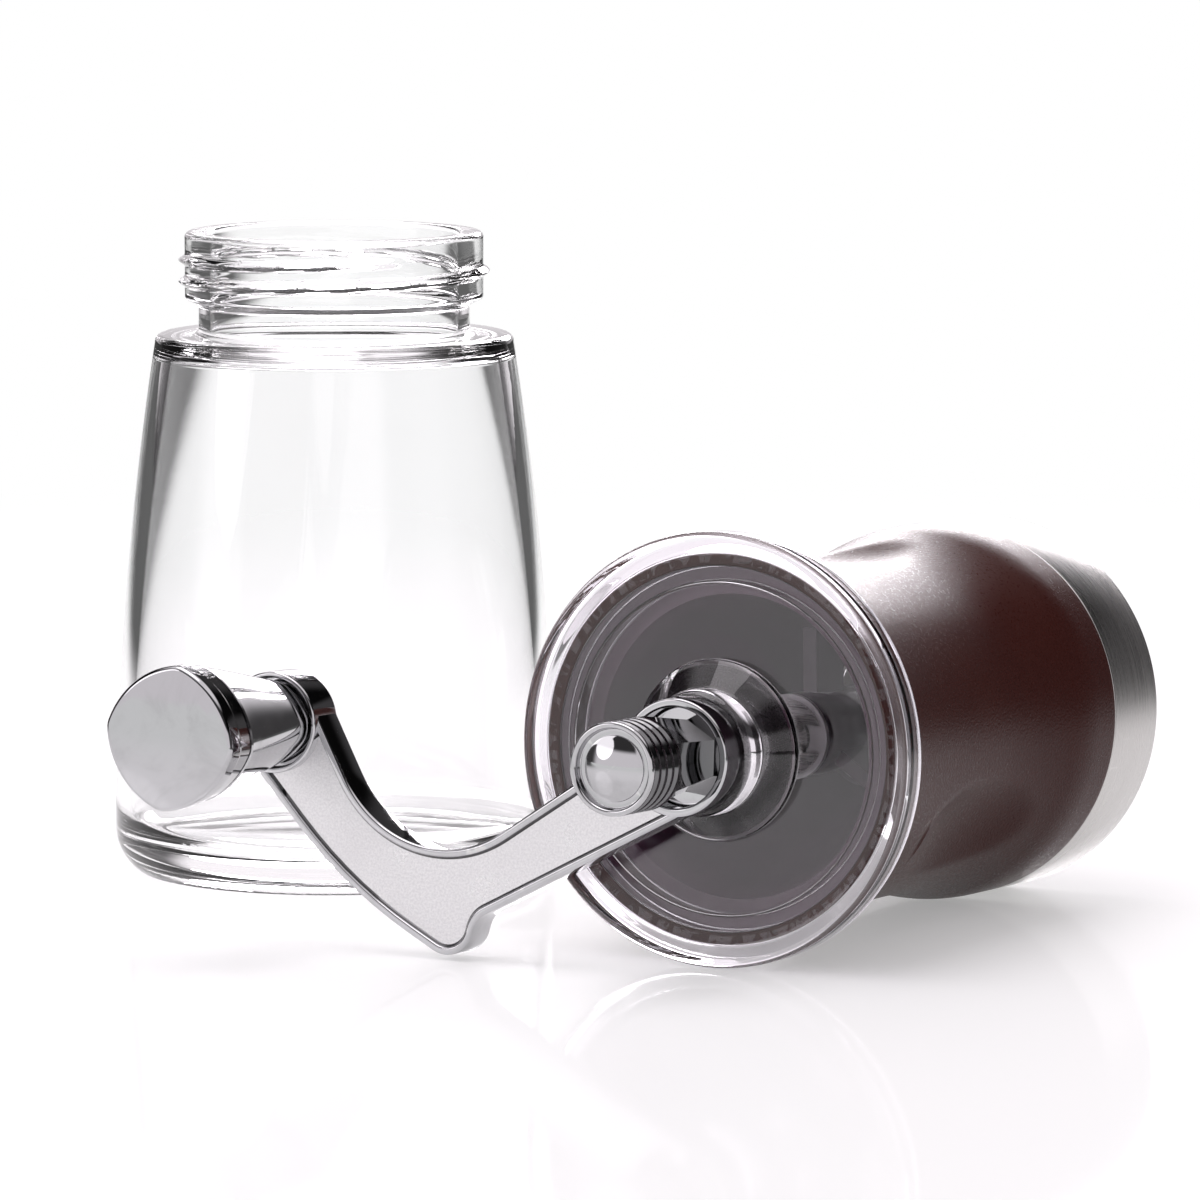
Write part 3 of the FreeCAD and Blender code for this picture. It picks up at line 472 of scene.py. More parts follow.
def seeThrough(name, tint, ior, wave):
    # clear walls: a shadow passes through as tinted light
    look = SimpleNamespace(**clearLook)
    finish = Finish(name, IOR=ior, Roughness=0.0, Transmission_Weight=1.0)
    handled = finish.effect("handling", Smudges=30, Scratches=80)
    smudged = tuple(value * look.smudged for value in tint)
    colour = finish.mixed(handled["Smudge"], tint, smudged)
    finish.coat(colour, handled["Smudge"], look.rough, handled["Smudge"], (wave, look.waveDepth))
    tree = finish.tree
    clear = add(tree, "BsdfTransparent", Color=(*(value * look.shadow for value in tint), 1))
    shadow = add(tree, "LightPath").outputs["Is Shadow Ray"]
    surface = mixedShader(tree, shadow, finish.shader.outputs[0], clear.outputs[0])
    tree.links.new(surface, tree.nodes["Material Output"].inputs["Surface"])
    return finish.material


mouldedLook = {
    "edgeGain": 1.6, "edgeLift": 0.01, "edgeShare": 0.5,
    "smoother": 0.05, "rougher": 0.07, "bump": (0.2, 0.00005),
}


def moulded(name, low, high, roughness, grainScale=4200):
    look = SimpleNamespace(**mouldedLook)
    finish = Finish(name, Specular_IOR_Level=0.5)
    grain = finish.effect("grain", Scale=grainScale, Patches=80)
    edge = finish.effect("edge", From=0.51, To=0.58)
    base = finish.mixed(grain["Patch"], low, high)
    pale = tuple(min(1, value * look.edgeGain + look.edgeLift) for value in high)
    worn = finish.over(base, edge["Edge"], look.edgeShare, pale)
    rough = roughness - look.smoother, roughness + look.rougher
    return finish.coat(worn, grain["Grain"], rough, grain["Height"], look.bump)


brassLook = {
    "low": (0.6, 0.42, 0.16), "high": (0.78, 0.6, 0.28), "rough": (0.18, 0.34), "bump": (0.15, 0.00004),
}


def turnedBrass():
    look = SimpleNamespace(**brassLook)
    finish = Finish("turnedBrass", Metallic=1.0)
    brush = finish.effect("brush", Lines=6000, Streaks=40)
    colour = finish.mixed(brush["Shade"], look.low, look.high)
    return finish.coat(colour, brush["Shade"], look.rough, brush["Height"], look.bump)


finishes = {
    "brown_body": softBrown(),
    "steel": brushedSteel(),
    "dark_plastic": moulded("darkPlastic", (0.04, 0.027, 0.031), (0.054, 0.038, 0.043), 0.34),
    "pale_plastic": moulded("palePlastic", (0.62, 0.6, 0.56), (0.7, 0.69, 0.65), 0.4),
    "clear_plastic": seeThrough("clearPlastic", (0.95, 0.925, 0.965), 1.57, 0.01),
    "ceramic": moulded("burrCeramic", (0.7, 0.68, 0.63), (0.8, 0.79, 0.75), 0.42, 2400),
    "cast_metal": polishedChrome("polishedCasting", 0.54),
    "chrome": polishedChrome("polishedChrome", 0.51),
    "brass": turnedBrass(),
    "glass": seeThrough("jarGlass", (0.995, 0.995, 0.998), 1.47, 0.03),
}
# what shows through the lid: a mauve hopper and a near-black bush
innerFinishes = {
    "hopper": moulded("hopperPlastic", (0.05, 0.019, 0.036), (0.066, 0.027, 0.048), 0.34),
    "lid_bush": moulded("bushPlastic", (0.008, 0.006, 0.0065), (0.012, 0.009, 0.01), 0.3),
}
plateFace = satinFace()
# the nut's barrel and hexagon: the same chrome at a far lower tone, a painted dark reflection
nutPaintedDarkReflection = polishedChrome("chromePaintedDarkReflection", 0.19)
# the arm's recess wall: the casting at a far lower tone, painted shade
recessPaintedShade = polishedChrome("castingPaintedShade", 0.1)
for name, node in nodes.items():
    node.data.materials.clear()
    node.data.materials.append(innerFinishes.get(name, finishes[slots[name]]))
print("finishes given to", len(nodes), "nodes")

threadRunOut = 12  # a thread's ends fade over one part in this many of a turn


def helix(angle, height, low, turns, pitch, half, start):
    # 0 to 1: how far a thread ridge that starts at height low and angle start stands out here
    best = 0
    for turn in range(-1, math.ceil(turns) + 1):
        along = (angle - start) / (2 * math.pi) % 1 + turn
        if not 0 <= along <= turns:
            continue
        off = abs(height - low - along * pitch) / half
        fade = min(1, along * threadRunOut, (turns - along) * threadRunOut)
        if off < 1:
            best = max(best, fade * (0.5 + 0.5 * math.cos(math.pi * off)))
    return best


# Brown body
bodySizes = {
    "bandRadius": 30.9, "bandHeight": 16.3, "skirt": 30.05, "lip": 0.7,
    "hipSweep": 40, "waistSweep": 120, "waist": 28.15, "waistHeight": 52, "skinDepth": 0.5,
    "mouth": 31.2, "mouthBore": 29, "mouthTop": 95.2, "mouthEdge": 0.315, "ledge": 88, "funnel": 26.35,
    "bore": 23.7, "boreHalf": 12, "socket": 26.6, "socketTop": 18.5, "partitionTop": 21.5,
    "partitionBore": 21.1, "taperTop": 27.5, "edge": 0.35,
    "dimpleCount": 3, "dimpleHeight": 56.4, "dimpleDepth": 2.25, "dimpleAcross": 40,
    "dimpleSweep": 60, "dimpleReach": 24, "dimpleSoft": 0.24,
    "threadLow": 3.2, "threadTurns": 2.2, "threadPitch": 3.5, "threadDepth": 0.8, "threadHalf": 1.1,
    "segments": 384, "wallStep": 1, "hipSteps": 8, "waistSteps": 40, "chestSteps": 76, "threadStep": 0.35,
}


def bodyPiece():
    size = SimpleNamespace(**bodySizes)
    sweeps = size.waistSweep + size.hipSweep
    turnCos = 1 - (size.bandRadius - size.waist) / sweeps
    turnSin = math.sqrt(1 - turnCos**2)
    hipLow = (size.bandRadius, size.waistHeight - sweeps * turnSin)
    hipHigh = (size.waist + size.waistSweep * (1 - turnCos), size.waistHeight - size.waistSweep * turnSin)
    waist = (size.waist, size.waistHeight)
    edge = size.edge
    mouth = (size.mouth, size.mouthTop - edge)
    rise, flare = mouth[1] - waist[1], mouth[0] - waist[0]
    chestSweep = (rise**2 + flare**2) / (2 * flare)
    lower = eased([
        (size.skirt, size.lip),
        (size.skirt, size.bandHeight),
        (size.bandRadius, size.bandHeight, edge),
        hipLow,
    ])
    outline = lower[:-1]
    outline += evenly(lower[-2], hipLow, size.wallStep)[1:]
    outline += bowed(hipLow, hipHigh, size.hipSweep, -1, size.hipSteps)
    outline += bowed(hipHigh, waist, size.waistSweep, 1, size.waistSteps)
    outline += bowed(waist, mouth, chestSweep, 1, size.chestSteps)
    outline += eased([
        mouth,
        (size.mouth, size.mouthTop, size.mouthEdge),
        (size.mouthBore, size.mouthTop, edge),
        (size.mouthBore, size.ledge),
    ])[1:]
    outline += [
        (size.funnel, size.ledge),
        (size.bore, size.dimpleHeight + size.boreHalf),
        (size.bore, size.dimpleHeight - size.boreHalf),
        (size.socket, size.taperTop),
        (size.socket, size.partitionTop),
        (size.partitionBore, size.partitionTop),
        (size.partitionBore, size.socketTop),
    ]
    outline += evenly((size.socket, size.socketTop), (size.socket, size.lip), size.threadStep)
    outline += [(size.socket, size.lip)]

    def shaped(angle, radius, height):
        skin = radius > size.waist - size.skinDepth and height > size.bandHeight
        if skin and not same(radius, size.mouthBore):
            return radius - dimple(angle, radius, height)
        if same(radius, size.socket) and height < size.socketTop:
            return radius - size.threadDepth * thread(angle, height)
        return radius

    def dimple(angle, radius, height):
        # a scoop bowed both ways, with its rim softened
        away = height - size.dimpleHeight
        if abs(away) > size.dimpleReach:
            return 0
        share = 2 * math.pi / size.dimpleCount
        turn = (angle + share / 2) % share - share / 2
        centre = size.waist - size.dimpleDepth + size.dimpleAcross
        scoop = size.dimpleAcross - size.dimpleSweep + math.sqrt(size.dimpleSweep**2 - away**2)
        across = scoop**2 - (centre * math.sin(turn))**2
        if across < 0:
            return 0
        cut = radius - (centre * math.cos(turn) - math.sqrt(across))
        return size.dimpleSoft * math.log1p(math.exp(cut / size.dimpleSoft))

    def thread(angle, height):
        return helix(angle, height, size.threadLow, size.threadTurns, size.threadPitch, size.threadHalf, 0)

    bm = bmesh.new()
    spun(bm, outline, size.segments, shaped)
    piece("brownBody", bm, headPlace, "head", "body_shell")


bodyPiece()

# Steel band, with rolled corners
bandSizes = {
    "radius": 30.9, "height": 16.3, "wall": 0.7, "lip": 1.6,
    "edge": 0.3, "footEdge": 0.5, "lipEdge": 0.2, "segments": 192,
}


def bandPiece():
    size = SimpleNamespace(**bandSizes)
    bore = size.radius - size.wall
    outline = eased([
        (size.radius, 0, size.footEdge),
        (size.radius, size.height, size.edge),
        (bore, size.height),
        (bore, size.wall),
        (bore - size.lip, size.wall, size.lipEdge),
        (bore - size.lip, 0, size.lipEdge),
    ])
    bm = bmesh.new()
    spun(bm, outline, size.segments)
    piece("steelBand", bm, headPlace, "head", "steel_band")


bandPiece()

# Clear lid
lidSizes = {
    "top": 97.6, "low": 95.2, "radius": 34.4, "mouthGap": 31.5, "gapEdge": 0.2,
    "bead": 2.4, "beadMiddle": 96.4, "beadRound": 0.9, "beadInner": 1.2, "beadFoot": 3,
    "plug": 28.85, "plugWall": 2.2, "plugDepth": 5, "plugOuter": 0.7, "plugInner": 0.8,
    "hub": 14.3, "hubTop": 99.9, "hubSlope": 1.6, "hubStep": 0.6, "hubRound": 0.5, "hubFoot": 0.3,
    "collar": 10, "collarRound": 2.2, "collarFoot": 1, "collarTop": 105.4, "bore": 4.1, "roof": 1.6,
    "seat": 13.35, "seatTop": 97.8, "sleeve": 6.55, "edge": 0.35, "segments": 192,
}


def lidPiece():
    size = SimpleNamespace(**lidSizes)
    bead = size.radius - size.bead / 2
    beadTop, beadLow = size.beadMiddle + size.bead, size.beadMiddle - size.bead
    plugIn, plugLow = size.plug - size.plugWall, size.low - size.plugDepth
    roofLow = size.collarTop - size.roof
    outline = eased([
        (size.bore, size.collarTop),
        (size.collar, size.collarTop, size.collarRound),
        (size.collar, size.hubTop + size.hubSlope, size.collarFoot),
        (size.hub, size.top + size.hubStep, size.hubRound),
        (size.hub, size.top, size.hubFoot),
        (bead - size.bead, size.top, size.beadFoot),
        (bead, beadTop, size.beadInner),
        (size.radius, beadTop, size.beadRound),
        (size.radius, beadLow, size.beadRound),
        (size.mouthGap, beadLow, size.gapEdge),
        (size.mouthGap, size.low),
        (size.plug, size.low, size.plugOuter),
        (size.plug, plugLow, size.edge),
        (plugIn, plugLow, size.edge),
        (plugIn, size.low, size.plugInner),
        (size.seat, size.low, size.edge),
        (size.seat, size.seatTop),
        (size.sleeve, size.seatTop),
        (size.sleeve, roofLow),
        (size.bore, roofLow),
    ])
    bm = bmesh.new()
    spun(bm, outline, size.segments)
    piece("clearLid", bm, headPlace, "head", "clear_lid")


lidPiece()

# Cap nut: domed end, grooved barrel, tapered hexagon in the hub's cup
nutSizes = {
    "low": 107.9, "length": 24.5, "radius": 7.35, "foot": 7.6, "bore": 3.05, "stud": 18.3,
    "hexLength": 15.2, "hexLow": 4.9, "hexHigh": 6.4, "hexStep": 0.6, "hexEase": 0.02,
    "rings": 4, "pitch": 2.1, "depth": 0.6, "grooveRound": 0.15, "edge": 0.18,
    "rim": 1, "rimRound": 0.48, "rimSlope": 0.2, "dish": 1.3, "dishRound": 0.15,
    "dome": 5.1, "domeSag": 0.975, "domeFoot": 0.1, "domeEase": (0.12, 0.03), "domeSteps": 14,
    "segments": 144, "sharp": 28,
}


def nutPiece():
    size = SimpleNamespace(**nutSizes)
    high = size.low + size.length
    shoulder = size.low + size.hexLength
    hexTop = shoulder - size.depth
    corners = [(size.bore, size.low)]
    corners += evenly((size.foot, size.low), (size.foot, hexTop), size.hexStep)
    corners += [(size.foot, hexTop), (size.radius, shoulder, size.edge)]
    for index in range(size.rings):
        groove = shoulder + size.pitch * (index + 0.5)
        corners += [
            (size.radius, groove, size.edge),
            (size.radius - size.depth, groove + size.depth, size.grooveRound),
            (size.radius, groove + size.depth * 2, size.edge),
        ]
    rimIn = size.radius - size.rim
    dishLow = high - size.dish
    dome, sag = size.dome, size.domeSag
    crown = (dome**2 + sag**2) / (2 * sag)
    corners += [
        (size.radius, high, size.rimRound),
        (rimIn, high, size.rimRound),
        (rimIn - size.rimSlope, dishLow, size.dishRound),
        (dome, dishLow, size.domeFoot),
        (dome, high - sag),
    ]
    outline = eased(corners)
    inward, upward = size.domeEase
    outline += bowed((dome - inward, high - sag + upward), (0, high), crown, -1, size.domeSteps)
    outline += [(0, high), (0, size.low + size.stud), (size.bore, size.low + size.stud)]

    def shaped(angle, radius, height):
        # six flats, which lean out towards the barrel
        if radius < size.hexLow or height > shoulder - size.hexEase:
            return radius
        share = (height - size.low) / (size.hexLength - size.depth)
        flat = size.hexLow + (size.hexHigh - size.hexLow) * share
        turn = (angle + math.pi / 6) % (math.pi / 3) - math.pi / 6
        return min(radius, flat / math.cos(turn))

    bm = bmesh.new()
    spun(bm, outline, size.segments, shaped)
    for face in bm.faces:
        if face.calc_center_median().z > (dishLow - near) * mm:
            face.material_index = 1  # the end, in the plain chrome; the barrel and hexagon keep the painted dark reflection
    piece("capNut", bm, crankPlace, "crank", "cap_nut", [nutPaintedDarkReflection, finishes["chrome"]], size.sharp)


nutPiece()

# Crank arm: a plate with a polished border, a hub cup and a knob boss
armSizes = {
    "back": 105.7, "thickness": 6.2, "border": 1.25, "recess": 0.75, "slope": 0.4,
    "edge": 0.45, "edgeSteps": 4, "inner": 0.3, "innerSteps": 3, "backGap": 0.03,
    "hub": 9.3, "hubWall": 1.4, "hubFloor": 2.2, "hubRise": 0.1, "hubEdges": (0.4, 0.4), "shaftHole": 3.9,
    "boss": 8.1, "bossWall": 0.8, "bossCup": 1.6, "bossRise": 1, "bossEdges": (0.35, 0.3), "pinHole": 2.35,
    "footEdge": 0.4, "reach": 72.4,
    "topAngle": 176.2, "footAngle": -62.7, "innerAngle": 30, "outerAngle": 226,
    "elbow": (-48.7, -26.6, 20), "sweep": (-58.7, -25.6, 80),
    "heel": (-36.5, -37.05, 5), "notch": (-34.7, -28.4, 4),
    "chord": 3, "step": 0.4, "sidePoints": 150, "endPoints": 24, "sunk": 0.8, "sunkLess": 0.3,
    "segments": 144, "sharp": 35,
}


def armPiece():
    size = SimpleNamespace(**armSizes)
    hub, boss = Vector((0, 0)), Vector((-size.reach, 0))

    def onCircle(centre, radius, turn):
        return centre + radius * Vector((math.cos(turn), math.sin(turn)))

    hubMiddle, bossMiddle = size.hub - size.hubWall / 2, size.boss - size.bossWall / 2
    angles = (size.footAngle, size.topAngle, size.innerAngle, size.outerAngle)
    foot, top, inner, outer = (math.radians(angle) for angle in angles)
    upper = eased([onCircle(hub, hubMiddle, top), size.elbow, onCircle(boss, bossMiddle, inner)], size.chord)
    lower = eased([
        onCircle(boss, bossMiddle, outer),
        size.sweep,
        size.heel,
        size.notch,
        onCircle(hub, hubMiddle, foot),
    ], size.chord)

    def side(corners, distance, rings):
        # one side moved inwards, and cut off in the walls of hub and boss
        line = []
        for first, last in zip(corners, corners[1:]):
            line += evenly(first, last, size.step)
        kept = []
        for back, here, ahead in zip(line, line[1:], line[2:]):
            way = (ahead - back).normalized()
            moved = here + Vector((-way.y, way.x)) * distance
            if all((moved - centre).length > radius for centre, radius in rings):
                kept.append(moved)
        return spaced(kept, size.sidePoints)

    def end(centre, radius, first, last):
        # clockwise round a ring's wall, from one side's end to the other's start
        start = math.atan2(*(first - centre).yx)
        sweep = (math.atan2(*(last - centre).yx) - start) % (2 * math.pi) - 2 * math.pi
        count = size.endPoints
        return [onCircle(centre, radius, start + sweep * (step + 0.5) / count) for step in range(count)]

    def inset(distance):
        # the whole outline moved inwards; its ends stay inside the walls of hub and boss
        sunk = size.sunk - size.sunkLess * distance / size.border
        hubRing = hub, size.hub - size.hubWall * sunk
        bossRing = boss, size.boss - size.bossWall * sunk
        high, low = (side(corners, distance, (hubRing, bossRing)) for corners in (upper, lower))
        return high + end(*bossRing, high[-1], low[0]) + low + end(*hubRing, low[-1], high[0])

    back, front = size.back, size.back + size.thickness
    plateLow, floor = back + size.backGap, front - size.recess
    outerRound = quarter(size.edge, size.edgeSteps)
    innerRound = quarter(size.inner, size.innerSteps)
    loops = [(inset(inward), plateLow + off) for inward, off in outerRound]
    loops += [(inset(inward), front - off) for inward, off in outerRound[::-1]]
    loops += [(inset(size.border - outward), front - off) for outward, off in innerRound]
    loops += [(inset(size.border + size.slope * share), floor) for share in (1, 2)]
    bm = bmesh.new()
    rings, strips = stacked(bm, loops)
    for part in strips[-1] + [bm.faces.new(rings[-1])]:
        part.material_index = 1  # the satin plate
    for part in strips[-2]:
        part.material_index = 2  # the recess's wall, in a darkened casting: painted shade
    bm.faces.new(rings[0][::-1])

    def cup(hole, outer, wall, floor, top, edges):
        # a round wall, and a floor with a hole
        rimEdge, cupEdge = edges
        spun(bm, eased([
            (hole, back),
            (outer, back, size.footEdge),
            (outer, top, rimEdge),
            (outer - wall, top, cupEdge),
            (outer - wall, floor, cupEdge),
            (hole, floor),
        ]), size.segments)

    hubTop, bossTop = front + size.hubRise, front + size.bossRise
    cup(size.shaftHole, size.hub, size.hubWall, back + size.hubFloor, hubTop, size.hubEdges)
    before = len(bm.verts)
    cup(size.pinHole, size.boss, size.bossWall, bossTop - size.bossCup, bossTop, size.bossEdges)
    bm.verts.ensure_lookup_table()
    for vertex in bm.verts[before:]:
        vertex.co.x -= size.reach * mm
    materials = [finishes["cast_metal"], plateFace, recessPaintedShade]
    piece("crankArm", bm, crankPlace, "crank", "crank_arm", materials, size.sharp)


armPiece()

# Burr spring: a coil of round wire
springSizes = {
    "low": 33.55, "length": 10.5, "radius": 4.9, "wire": 0.9, "turns": 4, "perTurn": 40, "round": 12,
}


def springPiece():
    size = SimpleNamespace(**springSizes)
    bm = bmesh.new()
    rings = []
    count = size.turns * size.perTurn
    for index in range(count + 1):
        angle = 2 * math.pi * index / size.perTurn
        out = Vector((math.cos(angle), math.sin(angle), 0))
        rise = size.low + size.wire / 2 + (size.length - size.wire) * index / count
        ring = []
        for step in range(size.round):
            turn = 2 * math.pi * step / size.round
            point = out * (size.radius + size.wire / 2 * math.cos(turn))
            point.z = rise + size.wire / 2 * math.sin(turn)
            ring.append(bm.verts.new(point * mm))
        rings.append(ring)
    for index, ring in enumerate(rings[:-1]):
        bridge(bm, ring, rings[index + 1])
    bm.faces.new(rings[0])
    bm.faces.new(rings[-1][::-1])
    made = piece("burrSpring", bm, crankPlace, None, "burr_spring")
    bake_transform(made)


springPiece()

# Knob: a bowed square that swells towards its face
knobSizes = {
    "low": 111.85, "length": 32.4, "capHeight": 3.8, "ridge": 10.3, "ridgeHeight": 3, "groove": 0.7,
    "face": 10.85, "faceEdge": 0.8, "faceSteps": 6, "corner": 4, "bulge": 14.5,
    "edge": 0.22, "edgeEase": 0.02,
    "neck": 6.25, "neckCorner": 4.9, "neckBulge": 10, "neckSteps": 14,
    "foot": 0.5, "footEase": 0.15, "footSwell": 0.02,
    "bore": 3.8, "boreTop": 19, "cavity": 5.2, "sideSteps": 14, "cornerSteps": 12, "sharp": 40,
}


def cushion(half, corner, bulge):
    # square with bowed sides and round corners, all tangent, as points round it
    sideSteps, cornerSteps = knobSizes["sideSteps"], knobSizes["cornerSteps"]
    offset = bulge - half
    reach = bulge - corner
    centre = (math.sqrt(2 * reach**2 - offset**2) - offset) / 2
    turn = math.asin(centre / reach)
    points = []
    for side in range(4):
        spin = Matrix.Rotation(math.pi / 2 * side, 2)
        for step in range(sideSteps):
            angle = -turn + 2 * turn * step / sideSteps
            points.append(spin @ Vector((bulge * math.cos(angle) - offset, bulge * math.sin(angle))))
        for step in range(cornerSteps):
            angle = turn + (math.pi / 2 - 2 * turn) * step / cornerSteps
            x, y = centre + corner * math.cos(angle), centre + corner * math.sin(angle)
            points.append(spin @ Vector((x, y)))
    return points


def knobPieces():
    size = SimpleNamespace(**knobSizes)
    low, high = size.low, size.low + size.length
    capLow = high - size.capHeight
    ridgeLow = capLow - size.ridgeHeight
    neckHigh = ridgeLow - size.groove
    edge = size.edge

    def wide(half):
        return cushion(half, size.corner, size.bulge)

    neck, ridge = cushion(size.neck, size.neckCorner, size.neckBulge), wide(size.ridge)

    def between(share, shrink=0):
        points = []
        for inner, outer in zip(neck, ridge):
            points.append(inner.lerp(outer, share) * (1 - shrink / outer.length))
        return points

    def circle(radius):
        return [point.normalized() * radius for point in neck]

    rise, steps = neckHigh - low, size.neckSteps
    ridgeIn, boreTop = wide(size.ridge - size.groove), low + size.boreTop
    loops = [
        (circle(size.bore), low),
        (between(0, size.foot), low),
        (between(0, size.footEase), low + size.footEase),
        (between(size.footSwell), low + size.foot),
    ]
    loops += [(between(step / steps), low + rise * step / steps) for step in range(1, steps)]
    loops += [
        (between(1, size.edgeEase), neckHigh - edge),
        (between(1, edge), neckHigh),
        (ridgeIn, neckHigh),
        (ridgeIn, ridgeLow),
        (wide(size.ridge - edge), ridgeLow),
        (ridge, ridgeLow + edge),
        (ridge, capLow - edge),
        (wide(size.ridge - edge), capLow),
        (circle(size.cavity), capLow),
        (circle(size.cavity), boreTop),
        (circle(size.bore), boreTop),
    ]
    bm = bmesh.new()
    rings, _ = stacked(bm, loops)
    bridge(bm, rings[-1], rings[0])
    piece("knobShell", bm, knobPlace, "knob", "knob_shell", sharp=size.sharp)

    face, faceIn = size.face, wide(size.face - size.groove)
    foot = capLow + size.groove
    loops = [(faceIn, capLow), (faceIn, foot), (wide(face - edge), foot), (wide(face), foot + edge)]
    faceRound = quarter(size.faceEdge, size.faceSteps)
    loops += [(wide(face - inward), high - off) for inward, off in faceRound[::-1]]
    bm = bmesh.new()
    rings, _ = stacked(bm, loops)
    bm.faces.new(rings[0][::-1])
    bm.faces.new(rings[-1])
    piece("knobCap", bm, knobPlace, "knob", "knob_cap", sharp=size.sharp)


knobPieces()

# Glass jar, with its screw thread and a knurled rest ring
jarSizes = {
    "push": 0.8, "pushRound": 0.8, "restIn": 30.7, "rest": 33.7, "restRound": 0.5,
    "radius": 37.4, "heel": 7, "foot": 12, "sweep": 590, "wall": 2.6, "base": 5.5, "innerHeel": 5,
    "shoulder": 30.3, "shoulderHeight": 90.7, "shoulderRound": 1.2, "innerShoulder": 1.9,
    "neck": 22.9, "neckHeight": 5, "neckFoot": 1.2, "neckTop": 0.7,
    "finish": 25.2, "finishFoot": 0.5, "finishStart": 0.6, "top": 108.05, "rim": 1, "rimLead": 0.1,
    "bore": 21, "boreRound": 1.2, "throatRound": 2,
    "threadTop": 104.4, "threadTurns": 1.42, "threadPitch": 3.6, "threadHalf": 1.05, "thread": 1.05,
    "threadStart": -32.5, "knurls": 96, "knurl": 0.05, "knurlHigh": 1.5, "knurlIn": 0.6, "knurlOut": 1.5,
    "segments": 256, "heelSteps": 14, "footStep": 1.5, "wallSteps": 36, "threadStep": 0.22, "chord": 8,
}


def jarPiece():
    size = SimpleNamespace(**jarSizes)
    heelDepth = size.radius - size.rest
    heelSweep = (heelDepth**2 + size.heel**2) / (2 * heelDepth)
    wall, shoulderTop = size.wall, size.shoulderHeight
    shoulder = (size.shoulder, shoulderTop - size.shoulderRound)
    neckTop = shoulderTop + size.neckHeight
    finishLow = neckTop + (size.finish - size.neck) / 2
    rimLow = size.top - size.rim
    inside, ceiling = size.radius - wall, shoulderTop - wall
    innerWall = (size.shoulder - wall, ceiling - size.innerShoulder)
    outline = eased([
        (0, size.push),
        (size.restIn - size.push, size.push, size.pushRound),
        (size.restIn, 0, size.restRound),
        (size.rest, 0),
    ])[:-1]
    outline += bowed((size.rest, 0), (size.radius, size.heel), heelSweep, -1, size.heelSteps)
    outline += evenly((size.radius, size.heel), (size.radius, size.foot), size.footStep)
    outline += bowed((size.radius, size.foot), shoulder, size.sweep, -1, size.wallSteps)
    outline += eased([
        shoulder,
        (size.shoulder, shoulderTop, size.shoulderRound),
        (size.neck, shoulderTop, size.neckFoot),
        (size.neck, neckTop, size.neckTop),
        (size.finish, finishLow, size.finishFoot),
        (size.finish, rimLow),
    ])[1:-1]
    outline += evenly((size.finish, finishLow + size.finishStart), (size.finish, rimLow), size.threadStep)
    outline += eased([
        (size.finish, rimLow - size.rimLead),
        (size.finish, size.top, size.rim),
        (size.bore, size.top, size.rim),
        (size.bore, shoulderTop - wall / 2, size.boreRound),
        (size.bore + wall / 2, ceiling, size.throatRound),
        (size.shoulder - wall, ceiling, size.innerShoulder),
        innerWall,
    ], size.chord)[1:-1]
    outline += bowed(innerWall, (inside, size.foot), size.sweep - wall, 1, size.wallSteps)
    outline += eased([(inside, size.foot), (inside, size.base, size.innerHeel), (0, size.base)], size.chord)

    def shaped(angle, radius, height):
        if same(radius, size.finish) and finishLow < height < rimLow:
            turns, pitch, half = size.threadTurns, size.threadPitch, size.threadHalf
            low = size.threadTop - turns * pitch
            start = math.radians(size.threadStart) - 2 * math.pi * turns
            return radius + size.thread * helix(angle, height, low, turns, pitch, half, start)
        resting = size.restIn - size.knurlIn < radius < size.rest + size.knurlOut
        if resting and height < size.knurlHigh:
            return radius + size.knurl * math.sin(size.knurls * angle)
        return radius

    bm = bmesh.new()
    spun(bm, outline, size.segments, shaped)
    piece("jarGlass", bm, jarPlace, "jar", "glass_jar")


jarPiece()

# Studio: white floor, pale surround, soft lamps
studio = {
    "floorHalf": 5.0, "floorWhite": 0.8, "floorGlow": 0.36, "floorShine": 0.12, "floorRough": 0.06,
    "floorNear": 0.2, "floorFar": 0.65, "floorSides": (0.15, 0.35), "floorSideTone": 0.12,
    "ambient": 0.62, "tint": (1, 0.955, 0.99), "darkTone": 0.05, "darkFrom": (0.25, 0.35),
    "topTone": 1.1, "topFrom": (0.6, 0.8), "sideTone": 0.07, "sides": (0.4, 0.65),
    "cardFront": (-0.25, 0.0), "cardRight": (0.15, 0.4),
    "sideways": (0.8772, 0.4801, 0), "onward": (-0.4801, 0.8772, 0),
}


def rayChoice(tree):
    # two masks: what the camera sees, and what it, a reflection or a view through glass sees
    rays = add(tree, "LightPath")
    seen = maths(tree, "MAXIMUM", rays.outputs["Is Glossy Ray"], rays.outputs["Is Transmission Ray"])
    return rays.outputs["Is Camera Ray"], maths(tree, "MAXIMUM", rays.outputs["Is Camera Ray"], seen)


def flags(tree, source, limits, tone):
    # tone at either side of the set; 1 behind the object, and on a white card in front,
    # which reaches from the left to past the middle
    ways = []
    for label in ("sideways", "onward"):
        dot = add(tree, "VectorMath", {"operation": "DOT_PRODUCT"})
        dot.inputs[1].default_value = studio[label]
        tree.links.new(source, dot.inputs[0])
        ways.append(dot.outputs["Value"])
    beside = ranged(tree, maths(tree, "ABSOLUTE", ways[0], 0), *limits)
    front = ranged(tree, ways[1], *studio["cardFront"], 1.0, 0.0)
    left = ranged(tree, ways[0], *studio["cardRight"], 1.0, 0.0)
    card = maths(tree, "SUBTRACT", 1, maths(tree, "MULTIPLY", front, left))
    return ranged(tree, maths(tree, "MULTIPLY", beside, card), 0, 1, 1.0, tone)


